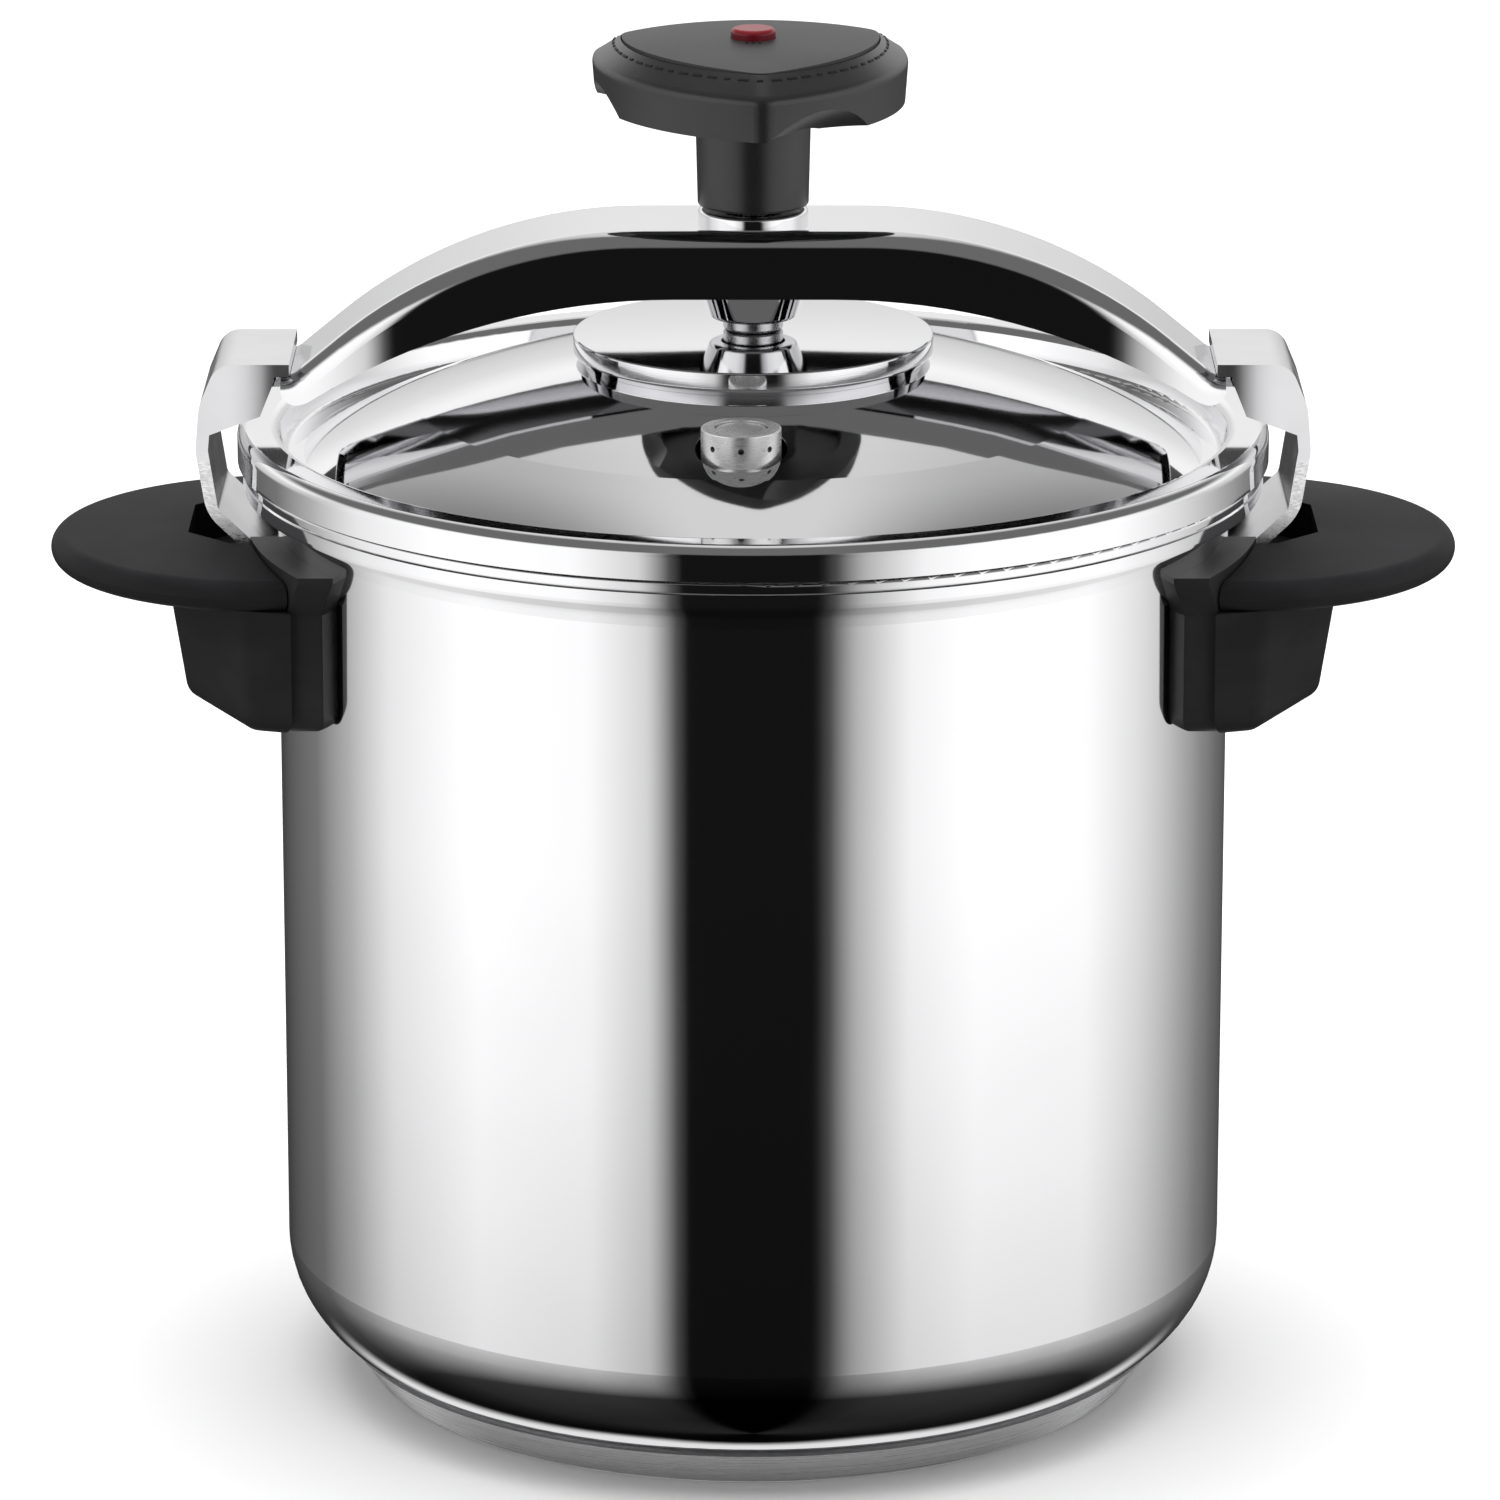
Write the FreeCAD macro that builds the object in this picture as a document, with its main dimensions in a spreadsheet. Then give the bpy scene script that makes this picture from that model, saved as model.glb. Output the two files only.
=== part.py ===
import FreeCAD, Part

# Arch-bridge stovetop pressure cooker of about 10 litres, as a parametric document in millimetres.
# +Z is up, X runs along the bridge from hook to hook, and the origin is the centre of the base.

import math
import os
import Sketcher
from FreeCAD import Vector

TOUCH = 1e-3    # two places closer than this are the same place


# --------------------------------------------------------------------------- driving dimensions

DIMENSIONS = [
    # pot: its rim's height and its wall's radius, then steps and drops from those
    ("rim_top", 241.0), ("pot_radius", 121.0), ("pot_sheet", 1.0), ("pot_floor", 6.5),
    ("pot_corner", 29.0), ("flare_drop", 11.5), ("flare_round", 4.0), ("rim_drop", 6.8),
    ("rim_step", 8.5), ("rim_round", 1.2), ("fold_drop", 3.0), ("fold_depth", 0.4),
    ("lip_step", 5.0), ("lip_sheet", 1.4), ("lip_rise", 2.8),
    # heat-spreading base
    ("base_inset", 20.8), ("base_lean", 7.2), ("base_rise", 3.1), ("cap_sheet", 0.8),
    ("core_inset", 0.9),
    # lid and gasket
    ("lid_sheet", 1.0), ("lid_round", 3.0), ("lid_bend", 2.4), ("dome_rise", 20.0),
    ("dome_depth", 27.48), ("valley_width", 4.5), ("valley_lean", 2.1), ("gasket_width", 7.2),
    ("gasket_height", 4.6), ("gasket_lift", 0.5), ("gasket_play", 0.9), ("gasket_chamfer", 1.6),
    ("gasket_slit", 3.24),
    # pressure plate
    ("plate_radius", 45.6), ("plate_taper", 1.6), ("plate_drop", 2.0), ("plate_side", 4.2),
    ("plate_crown", 1.0), ("plate_round", 0.5),
    # safety valve
    ("valve_reach", 71.06), ("valve_bearing", 267.6), ("seat_radius", 11.3), ("seat_overlap", 0.41),
    ("valve_hole", 5.9), ("valve_bore", 3.0), ("guard_radius", 9.9), ("guard_sheet", 0.8),
    ("guard_height", 8.8), ("vent_radius", 0.75), ("vent_drop", 4.0), ("plunger_step", 2.8),
    ("plunger_play", 0.7), ("plunger_foot_height", 1.2), ("spring_wire", 0.8), ("spring_play", 1.45),
    ("valve_flange", 1.0), ("seat_ring_height", 0.9), ("seal_height", 1.4), ("seal_width", 3.0),
    ("valve_nut_height", 4.0), ("valve_nut_width", 3.2), ("valve_tail", 1.5),
    # bridge
    ("arch_rise", 33.3), ("arch_half", 19.5), ("arch_flat", 28.0), ("arch_slope", 39.5),
    ("arch_sheet", 2.0), ("arch_ledge", 2.71), ("arch_round", 5.0), ("arch_end_round", 4.0),
    ("flange_drop", 16.7), ("flange_fall", 26.5), ("flange_flat", 20.0), ("flange_step", 6.8),
    ("flange_end_step", 2.3), ("tongue_inset", 3.2), ("tongue_sheet", 3.0), ("tongue_stop", 12.4),
    # hook brackets
    ("hook_step", 9.6), ("hook_rise", 18.4), ("hook_depth", 23.9), ("hook_overlap", 2.3),
    ("hook_sheet", 3.2), ("hook_knee", 51.8), ("leg_length", 29.6), ("leg_wrap", 1.8),
    ("elbow_inset", 2.6), ("elbow_rise", 13.0), ("waist_rise", 29.4), ("cheek_inset", 1.0),
    ("cheek_drop", 10.9), ("crown_inset", 5.6), ("crown_round", 6.0), ("strap_round", 12.0),
    ("inner_round", 3.0), ("stop_gap", 0.5),
    # bridge nut
    ("nut_lift", 3.2), ("nut_rise", 2.7), ("nut_wall", 9.0), ("nut_mouth_wall", 6.0),
    ("nut_neck_wall", 4.0), ("nut_hollow_wall", 3.2), ("nut_hollow_height", 11.6),
    ("nut_round", 1.4), ("nut_ring_inset", 0.1),
    # spindle and its swivelling foot
    ("spindle_radius", 5.0), ("foot_play", 0.6), ("foot_height", 3.3), ("pivot_inset", 2.0),
    ("pivot_length", 2.0), ("tap_radius", 2.0), ("tap_depth", 14.0), ("tap_screw", 12.0),
    # knob
    ("stem_gap", 1.0), ("stem_height", 24.6), ("stem_radius", 14.0), ("stem_draft", 0.6),
    ("head_side", 61.5), ("head_offset", 24.9), ("head_corner", 7.0), ("head_draft", 0.8),
    ("head_height", 10.8), ("head_slope", 4.9), ("head_round", 2.5), ("rim_wall", 8.0),
    ("under_hollow", 6.0), ("hollow_corner", 1.5), ("cover_inset", 10.0), ("cover_shift", 2.9),
    ("cover_turn", 1.0),
    ("cover_sheet", 2.4), ("cover_crown", 2.3), ("scallop_radius", 39.2), ("scallop_drop", 27.5),
    ("scallop_reach", 22.0), ("scallop_turn", 28.0), ("knob_turned", 3.5), ("insert_wall", 2.5),
    ("insert_lift", 2.0), ("knob_cap_radius", 5.65), ("knob_cap_rise", 2.4), ("cap_seat", 1.2),
    ("cap_plug", 3.0), ("screw_cap_height", 3.0),
    # handles
    ("wing_drop", 16.8), ("wing_step", 0.4), ("wing_radius", 57.4), ("wing_height", 13.2),
    ("wing_nose", 4.0), ("nose_drop", 6.8), ("spacer_sheet", 7.5), ("spacer_half", 56.0),
    ("spacer_round", 4.5),
    ("flare_half", 61.5), ("flare_low_drop", 11.0), ("flare_high_drop", 1.5), ("spacer_drop", 0.2),
    ("seam_gap", 0.5), ("post_drop", 42.2), ("post_step", 27.0), ("post_foot_step", 22.0),
    ("post_side_step", 7.0), ("post_half", 22.0), ("post_inset", 1.0), ("post_round", 6.0),
    ("foot_round", 5.0), ("well_step", 2.6), ("well_side", 5.0), ("well_drop", 3.1),
    ("well_chamfer", 11.0), ("stud_radius", 4.0), ("stud_length", 9.5), ("screw_rise", 15.0),
    ("screw_radius", 2.2), ("screw_head", 4.6), ("screw_head_height", 3.0), ("screw_seat", 4.0),
    # fits
    ("running_fit", 0.05), ("clearance", 0.3), ("contact_gap", 0.1),
]


class Size:
    """A length or angle that also carries the spreadsheet formula it comes from."""

    def __init__(self, value, formula):
        self.value = float(value)
        self.formula = formula

    def __add__(self, other):
        other = sized(other)
        return Size(self.value + other.value, f"({self.formula} + {other.formula})")

    def __sub__(self, other):
        other = sized(other)
        return Size(self.value - other.value, f"({self.formula} - {other.formula})")

    def __mul__(self, other):
        other = sized(other)
        return Size(self.value * other.value, f"({self.formula} * {other.formula})")

    def __truediv__(self, other):
        other = sized(other)
        return Size(self.value / other.value, f"({self.formula} / {other.formula})")

    def __neg__(self):
        return Size(-self.value, f"(0 - {self.formula})")

    __radd__ = __add__

    def __rmul__(self, other):
        return self * other

    def __rsub__(self, other):
        return sized(other) - self


def sized(number):
    return number if isinstance(number, Size) else Size(number, f"({float(number)!r})")


def root(area):
    return Size(math.sqrt(area.value), f"sqrt({area.formula})")


def sine(angle):
    return Size(math.sin(math.radians(angle.value)), f"sin({angle.formula})")


def cosine(angle):
    return Size(math.cos(math.radians(angle.value)), f"cos({angle.formula})")


def tangent(angle):
    return sine(angle) / cosine(angle)


class Sheet:
    """The spreadsheet of driving dimensions, read as attributes such as s.pot_radius."""

    def __init__(self, doc):
        self.cells = doc.addObject("Spreadsheet::Sheet", "Sizes")
        for row, (alias, value) in enumerate(DIMENSIONS, start=1):
            self.cells.set(f"A{row}", alias)
            self.cells.set(f"B{row}", str(value))
            self.cells.setAlias(f"B{row}", alias)
        doc.recompute()

    def __getattr__(self, alias):
        return Size(self.cells.get(alias), f"Sizes.{alias}")


doc = FreeCAD.newDocument("PressureCooker")
s = Sheet(doc)
nodes = []


# --------------------------------------------------------------------------- modelling helpers

def bind(thing, path, size):
    thing.setExpression(path, size.formula)


def keep(thing, label):
    """Give a sub-part its own label and list it as a node."""
    thing.Label = label
    nodes.append(thing)
    return thing


def new_body(label, listed=True):
    body = doc.addObject("PartDesign::Body", label)
    body.Label = label
    if listed:
        nodes.append(body)
    return body


def new_sketch(body, plane, lift=None):
    """A sketch on one of the body's own origin planes, raised along its normal by lift."""
    sketch = body.newObject("Sketcher::SketchObject", f"{body.Label}_sketch")
    support = next(f for f in body.Origin.OriginFeatures if f.Role == f"{plane}_Plane")
    sketch.AttachmentSupport = [(support, "")]
    sketch.MapMode = "FlatFace"
    if lift is not None:
        bind(sketch, "AttachmentOffset.Base.z", lift)
    return sketch


def fix_value(sketch, kind, places, size):
    """Add a driving constraint and bind it to the sheet."""
    number = sketch.addConstraint(Sketcher.Constraint(kind, *places, size.value))
    name = f"{kind}{number}"
    sketch.renameConstraint(number, name)
    bind(sketch, f"Constraints.{name}", size)


def fix_point(sketch, edge, end, x, y):
    """Hold one point of a sketch at (x, y), on an axis where a coordinate is nought."""
    for kind, size, axis in (("DistanceX", sized(x), -2), ("DistanceY", sized(y), -1)):
        if abs(size.value) < 1e-9:
            sketch.addConstraint(Sketcher.Constraint("PointOnObject", edge, end, axis))
        else:
            fix_value(sketch, kind, (-1, 1, edge, end), size)


def arc_between(start, end, radius, side):
    """The short arc from start to end; side is 1 with the centre on the left, -1 on the right."""
    chord = end - start
    across = Vector(-chord.y, chord.x, 0).normalize()
    rise = math.sqrt(max(radius ** 2 - (chord.Length / 2) ** 2, 0))
    centre = (start + end) / 2 + across * (side * rise)
    first, last = (start, end) if side > 0 else (end, start)
    angles = [math.atan2(p.y - centre.y, p.x - centre.x) for p in (first, last)]
    if angles[1] < angles[0]:
        angles[1] += 2 * math.pi
    return Part.ArcOfCircle(Part.Circle(centre, Vector(0, 0, 1), radius), *angles)


def draw_outline(sketch, corners):
    """Close an outline of corners (x, y), or (x, y, radius, side) where an arc leaves the corner."""
    points = [Vector(sized(c[0]).value, sized(c[1]).value, 0) for c in corners]
    edges = []
    for index, corner in enumerate(corners):
        start, end = points[index], points[(index + 1) % len(points)]
        if len(corner) == 4:
            radius, side = corner[2:]
            edge = sketch.addGeometry(arc_between(start, end, radius.value, side))
            fix_value(sketch, "Radius", (edge,), radius)
            edges.append((edge, 1, 2) if side > 0 else (edge, 2, 1))
        else:
            edges.append((sketch.addGeometry(Part.LineSegment(start, end)), 1, 2))
    for index, (edge, first, last) in enumerate(edges):
        following, its_first, _ = edges[(index + 1) % len(edges)]
        sketch.addConstraint(Sketcher.Constraint("Coincident", edge, last, following, its_first))
        fix_point(sketch, edge, first, corners[index][0], corners[index][1])


def draw_circle(sketch, x, y, radius):
    centre = Vector(sized(x).value, sized(y).value, 0)
    edge = sketch.addGeometry(Part.Circle(centre, Vector(0, 0, 1), radius.value))
    fix_point(sketch, edge, 3, x, y)
    fix_value(sketch, "Radius", (edge,), radius)


def turn(body, corners, kind="Revolution"):
    """Turn an outline of (radius, height) corners round the body's Z axis."""
    sketch = new_sketch(body, "XZ")
    draw_outline(sketch, corners)
    feature = body.newObject(f"PartDesign::{kind}", f"{body.Label}_{kind.lower()}")
    feature.Profile = sketch
    feature.ReferenceAxis = (sketch, ["V_Axis"])
    feature.Angle = 360
    doc.recompute()
    return feature


def extrude(body, sketch, length, kind="Pad", symmetric=False, reverse=False):
    feature = body.newObject(f"PartDesign::{kind}", f"{body.Label}_{kind.lower()}")
    feature.Profile = sketch
    if symmetric:
        feature.SideType = "Symmetric"
    feature.Reversed = reverse
    bind(feature, "Length", sized(length))
    doc.recompute()
    return feature


def cut_check(body, before):
    """A cut that points away from the solid takes nothing, so its volume is compared."""
    after = body.Shape.Volume
    if after >= before - TOUCH:
        raise RuntimeError(f"{body.Label}: a cut took nothing")


def pocket(body, sketch, length, symmetric=False, reverse=False):
    before = body.Shape.Volume
    feature = extrude(body, sketch, length, "Pocket", symmetric, reverse)
    cut_check(body, before)
    return feature


def on_ring(radius, height):
    """Picks the circular edge of this radius at this height."""
    def chosen(edge):
        curve = edge.Curve
        return (isinstance(curve, Part.Circle) and abs(curve.Radius - sized(radius).value) < 0.01
                and abs(curve.Center.z - sized(height).value) < 0.01
                and abs(abs(curve.Axis.z) - 1) < TOUCH)
    return chosen


def along_y(x, z):
    """Picks the straight edges parallel to Y at (x, z)."""
    def chosen(edge):
        return all(abs(v.X - sized(x).value) < 0.01 and abs(v.Z - sized(z).value) < 0.01
                   for v in edge.Vertexes)
    return chosen


def round_off(body, radius, *choosers):
    """Fillet the edges that any chooser picks, with a radius from the sheet."""
    doc.recompute()
    tip = body.Tip
    names = [f"Edge{n}" for n, edge in enumerate(tip.Shape.Edges, start=1)
             if not edge.Degenerated and any(chooser(edge) for chooser in choosers)]
    if not names:
        raise RuntimeError(f"{body.Label}: no edge to round")
    fillet = body.newObject("PartDesign::Fillet", f"{body.Label}_fillet")
    fillet.Base = (tip, names)
    bind(fillet, "Radius", sized(radius))
    doc.recompute()
    return fillet


def mirrored(source, label):
    """The same piece on the other side of the YZ plane."""
    twin = doc.addObject("Part::Mirroring", label)
    twin.Source = source
    twin.Normal = Vector(1, 0, 0)
    return keep(twin, label)


def pair(source, label):
    """One node that holds a piece and its mirror image as separate solids."""
    twin = doc.addObject("Part::Mirroring", f"{label}_twin")
    twin.Source = source
    twin.Normal = Vector(1, 0, 0)
    group = doc.addObject("Part::Compound", label)
    group.Links = [source, twin]
    return keep(group, label)


# --------------------------------------------------------------------------- shared geometry

def dome_height(radius, below=0):
    """Height of the lid's dome at a radius, or of the surface that lies this far below it."""
    sphere = s.dome_sphere - below
    return s.dome_apex - s.dome_sphere + root(sphere * sphere - radius * radius)


def pot_bottom(radius):
    """Height of the pot's rounded lower corner at a radius."""
    centre = s.pot_radius - s.pot_corner
    reach = radius - centre
    return s.pot_floor + s.pot_corner - root(s.pot_corner * s.pot_corner - reach * reach)


# --------------------------------------------------------------------------- derived places

s.pot_flare = s.rim_top - s.flare_drop
s.rim_under = s.rim_top - s.rim_drop
s.rim_fold = s.rim_top - s.fold_drop
s.rim_radius = s.pot_radius + s.rim_step
s.lip_radius = s.pot_radius + s.lip_step
s.lip_top = s.rim_top + s.lip_rise
s.base_radius = s.pot_radius - s.base_inset
s.base_shoulder = s.base_radius + s.base_lean
s.base_height = s.pot_floor + s.base_rise

s.lid_radius = s.rim_radius + s.clearance + s.lid_sheet
s.gasket_low = s.lip_top + s.gasket_lift
s.gasket_outer = s.lid_radius - s.lid_sheet - s.contact_gap
s.gasket_inner = s.gasket_outer - s.gasket_width
s.lid_top = s.gasket_low + s.gasket_height + s.contact_gap + s.lid_sheet
s.rim_inner = s.gasket_inner - s.gasket_play - s.lid_sheet
s.valley_edge = s.rim_inner - s.valley_lean
s.dome_edge = s.valley_edge - s.valley_width
s.dome_apex = s.lid_top + s.dome_rise
s.dome_sphere = (s.dome_edge * s.dome_edge + s.dome_depth * s.dome_depth) / (s.dome_depth * 2)

s.plate_foot = s.plate_radius - s.plate_taper
s.plate_low = s.dome_apex - s.plate_drop
s.plate_edge = s.plate_low + s.plate_side
s.plate_top = s.plate_edge + s.plate_crown
s.seat_height = dome_height(s.valve_reach + s.seat_radius - s.seat_overlap)
s.guard_top = s.seat_height + s.guard_height
s.guard_inner = s.guard_radius - s.guard_sheet
s.plunger_top = s.guard_inner - s.plunger_step
s.plunger_foot = s.guard_inner - s.plunger_play
s.spring_coil = s.guard_inner - s.spring_play

s.hook_reach = s.lid_radius + s.hook_step
s.hook_tip = s.hook_reach - s.hook_depth
s.hook_top = s.lid_top + s.hook_rise
s.hook_under = s.hook_top - s.hook_sheet
s.tongue_half = s.arch_half - s.tongue_inset
s.tongue_end = s.hook_reach - s.tongue_stop
s.tongue_top = s.hook_under - s.clearance
s.hook_half = s.tongue_half + s.stop_gap + s.hook_sheet
s.leg_outer = s.pot_radius + s.hook_sheet
s.leg_knee = s.hook_top - s.hook_knee
s.leg_low = s.leg_knee - s.leg_length

s.arch_top = s.hook_top + s.arch_rise
s.web_under = s.arch_top - s.arch_sheet
s.arch_end = s.hook_tip + s.hook_overlap
s.arch_foot = s.arch_end - s.arch_ledge
s.arch_run = s.arch_foot - s.arch_flat - (s.arch_top - s.tongue_top) / tangent(s.arch_slope)
s.arch_bend = s.arch_run / tangent(s.arch_slope / 2)
s.flange_height = s.arch_top - s.flange_drop
s.flange_reach = s.arch_end - s.flange_step
s.flange_run = s.flange_reach - s.flange_flat
s.flange_bend = (s.flange_run * s.flange_run + s.flange_fall * s.flange_fall) / (s.flange_fall * 2)

s.nut_low = s.plate_top + s.nut_lift
s.nut_top = s.arch_top + s.nut_rise
s.hollow_top = s.nut_low + s.nut_hollow_height
s.nut_radius = s.spindle_radius + s.nut_wall
s.nut_mouth = s.spindle_radius + s.nut_mouth_wall
s.nut_neck = s.spindle_radius + s.nut_neck_wall
s.nut_hollow = s.spindle_radius + s.nut_hollow_wall
s.nut_ring = s.nut_radius - s.nut_ring_inset
s.foot_bottom = s.plate_top + s.contact_gap
s.foot_radius = s.nut_hollow - s.foot_play
s.pivot_radius = s.spindle_radius - s.pivot_inset
s.spindle_shoulder = s.foot_bottom + s.foot_height + s.contact_gap

s.stem_bottom = s.nut_top + s.stem_gap
s.stem_top_radius = s.stem_radius + s.stem_draft
s.head_low = s.stem_bottom + s.stem_height
s.head_edge = s.head_low + s.head_height
s.spindle_top = s.head_low
s.insert_radius = s.spindle_radius + s.insert_wall
s.cover_edge = s.head_edge + s.head_slope
s.cover_top = s.cover_edge + s.cover_crown
s.cover_low = s.cover_edge - s.cover_sheet
s.cover_side = s.head_side - s.cover_inset
s.cover_offset = s.head_offset - s.cover_shift
s.cover_corner = s.head_corner - s.cover_turn
s.scallop_height = s.head_low - s.scallop_drop
s.knob_cap_top = s.cover_top + s.knob_cap_rise

s.wing_centre = s.pot_radius + s.wing_step
s.wing_top = s.rim_top - s.wing_drop
s.wing_under = s.wing_top - s.wing_height
s.spacer_radius = s.pot_radius + s.spacer_sheet
s.spacer_top = s.wing_top - s.spacer_drop
s.post_low = s.wing_top - s.post_drop
s.post_reach = s.pot_radius + s.post_step
s.post_foot_reach = s.pot_radius + s.post_foot_step
s.post_side = s.pot_radius + s.post_side_step
s.post_wide = s.spacer_half - s.post_inset
s.screw_height = s.post_low + s.screw_rise
s.stud_end = s.leg_outer + s.stud_length
s.well_reach = s.hook_reach + s.well_step
s.well_half = s.hook_half + s.well_side
s.well_floor = s.leg_knee - s.well_drop


# --------------------------------------------------------------------------- pot

def make_pot():
    body = new_body("pot_body")
    inner = s.pot_radius - s.pot_sheet
    lip_inner = s.lip_radius - s.lip_sheet
    turn(body, [
        (0, s.pot_floor), (s.pot_radius, s.pot_floor), (s.pot_radius, s.pot_flare),
        (s.rim_radius, s.rim_under), (s.rim_radius, s.rim_fold - s.fold_depth),
        (s.rim_radius - s.fold_depth, s.rim_fold), (s.rim_radius, s.rim_fold + s.fold_depth),
        (s.rim_radius, s.rim_top), (s.lip_radius, s.rim_top), (s.lip_radius, s.lip_top),
        (lip_inner, s.lip_top), (lip_inner, s.rim_under + s.pot_sheet),
        (inner, s.pot_flare + s.pot_sheet), (inner, s.pot_floor + s.pot_sheet),
        (0, s.pot_floor + s.pot_sheet)])
    round_off(body, s.pot_corner, on_ring(s.pot_radius, s.pot_floor))
    round_off(body, s.pot_corner - s.pot_sheet, on_ring(inner, s.pot_floor + s.pot_sheet))
    round_off(body, s.rim_round, on_ring(s.rim_radius, s.rim_under), on_ring(s.rim_radius, s.rim_top))
    round_off(body, s.lip_sheet * 0.4, on_ring(s.lip_radius, s.lip_top), on_ring(lip_inner, s.lip_top))
    round_off(body, s.flare_round, on_ring(s.pot_radius, s.pot_flare),
              on_ring(inner, s.pot_flare + s.pot_sheet))


def make_base():
    inner_foot = s.base_radius - s.cap_sheet / 2
    inner_shoulder = s.base_shoulder - s.cap_sheet * 1.2
    cap = new_body("base_cap")
    turn(cap, [
        (0, 0), (s.base_radius, 0), (s.base_shoulder, s.base_height),
        (inner_shoulder, s.base_height), (inner_foot, s.cap_sheet), (0, s.cap_sheet)])
    round_off(cap, s.cap_sheet * 1.5, on_ring(s.base_radius, 0))

    core = new_body("base_core")
    edge = inner_shoulder - s.core_inset
    cone_share = (edge - inner_foot) / (inner_shoulder - inner_foot)
    edge_low = s.cap_sheet + (s.base_height - s.cap_sheet) * cone_share
    flat = s.pot_radius - s.pot_corner
    turn(core, [
        (0, s.cap_sheet), (inner_foot, s.cap_sheet), (edge, edge_low),
        (edge, pot_bottom(edge), s.pot_corner, -1), (flat, s.pot_floor), (0, s.pot_floor)])


# --------------------------------------------------------------------------- lid

def make_lid():
    body = new_body("lid_shell")
    sheet = s.lid_sheet
    skirt_low = s.rim_top + s.clearance
    valley = dome_height(s.dome_edge)
    valley_under = dome_height(s.dome_edge, sheet)
    turn(body, [
        (s.dome_edge, valley, s.dome_sphere, 1), (0, s.dome_apex),
        (0, s.dome_apex - sheet, s.dome_sphere - sheet, -1), (s.dome_edge, valley_under),
        (s.valley_edge + sheet, valley_under), (s.rim_inner + sheet, s.lid_top - sheet),
        (s.lid_radius - sheet, s.lid_top - sheet), (s.lid_radius - sheet, skirt_low),
        (s.lid_radius, skirt_low), (s.lid_radius, s.lid_top), (s.rim_inner, s.lid_top),
        (s.valley_edge, valley)])
    round_off(body, s.lid_round, on_ring(s.lid_radius, s.lid_top))
    round_off(body, s.lid_round - sheet, on_ring(s.lid_radius - sheet, s.lid_top - sheet))
    round_off(body, s.lid_bend, on_ring(s.rim_inner, s.lid_top))
    round_off(body, s.lid_bend - sheet, on_ring(s.rim_inner + sheet, s.lid_top - sheet),
              on_ring(s.valley_edge, valley))
    round_off(body, s.lid_bend, on_ring(s.valley_edge + sheet, valley_under))

    # flat pressed seat for the valve: a plug trimmed to the dome, then sunk and drilled
    x = s.valve_reach * cosine(s.valve_bearing)
    y = s.valve_reach * sine(s.valve_bearing)
    plug = new_sketch(body, "XY", s.seat_height - sheet)
    draw_circle(plug, x, y, s.seat_radius + sheet)
    extrude(body, plug, 12)
    before = body.Shape.Volume
    edge = s.valve_reach + s.seat_radius + sheet * 3
    turn(body, [(0, s.dome_apex), (0, s.dome_apex + 20), (edge, s.dome_apex + 20),
                (edge, dome_height(edge), s.dome_sphere, 1)], "Groove")
    cut_check(body, before)
    well = new_sketch(body, "XY", s.seat_height)
    draw_circle(well, x, y, s.seat_radius)
    pocket(body, well, 20, reverse=True)
    hole = new_sketch(body, "XY", s.seat_height + sheet)
    draw_circle(hole, x, y, s.valve_hole)
    pocket(body, hole, sheet * 4)


def make_gasket():
    body = new_body("gasket")
    top = s.gasket_low + s.gasket_height
    chamfer = s.gasket_chamfer
    mid = (s.gasket_low + top) / 2
    slit = s.gasket_inner + s.gasket_slit
    turn(body, [
        (s.gasket_inner, s.gasket_low), (s.gasket_outer - chamfer, s.gasket_low),
        (s.gasket_outer, s.gasket_low + 1), (s.gasket_outer, top - chamfer),
        (s.gasket_outer - chamfer, top), (s.gasket_inner + chamfer, top),
        (s.gasket_inner + 0.6, mid + 1), (slit, mid + 0.4), (slit, mid - 0.4),
        (s.gasket_inner, mid - 0.9)])


def make_plate():
    body = new_body("pressure_plate")
    rise = s.plate_crown
    crown = (s.plate_radius * s.plate_radius + rise * rise) / (rise * 2)
    turn(body, [
        (0, s.plate_top), (0, s.dome_apex, s.dome_sphere, -1), (s.plate_foot, dome_height(s.plate_foot)),
        (s.plate_radius, s.plate_low), (s.plate_radius, s.plate_edge, crown, 1)])
    round_off(body, s.plate_round, on_ring(s.plate_radius, s.plate_edge),
              on_ring(s.plate_radius, s.plate_low))


# --------------------------------------------------------------------------- safety valve

def at_valve(body):
    """Put a valve piece, modelled about its own axis, over the valve seat in the lid."""
    bind(body, "Placement.Base.x", s.valve_reach * cosine(s.valve_bearing))
    bind(body, "Placement.Base.y", s.valve_reach * sine(s.valve_bearing))


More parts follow.
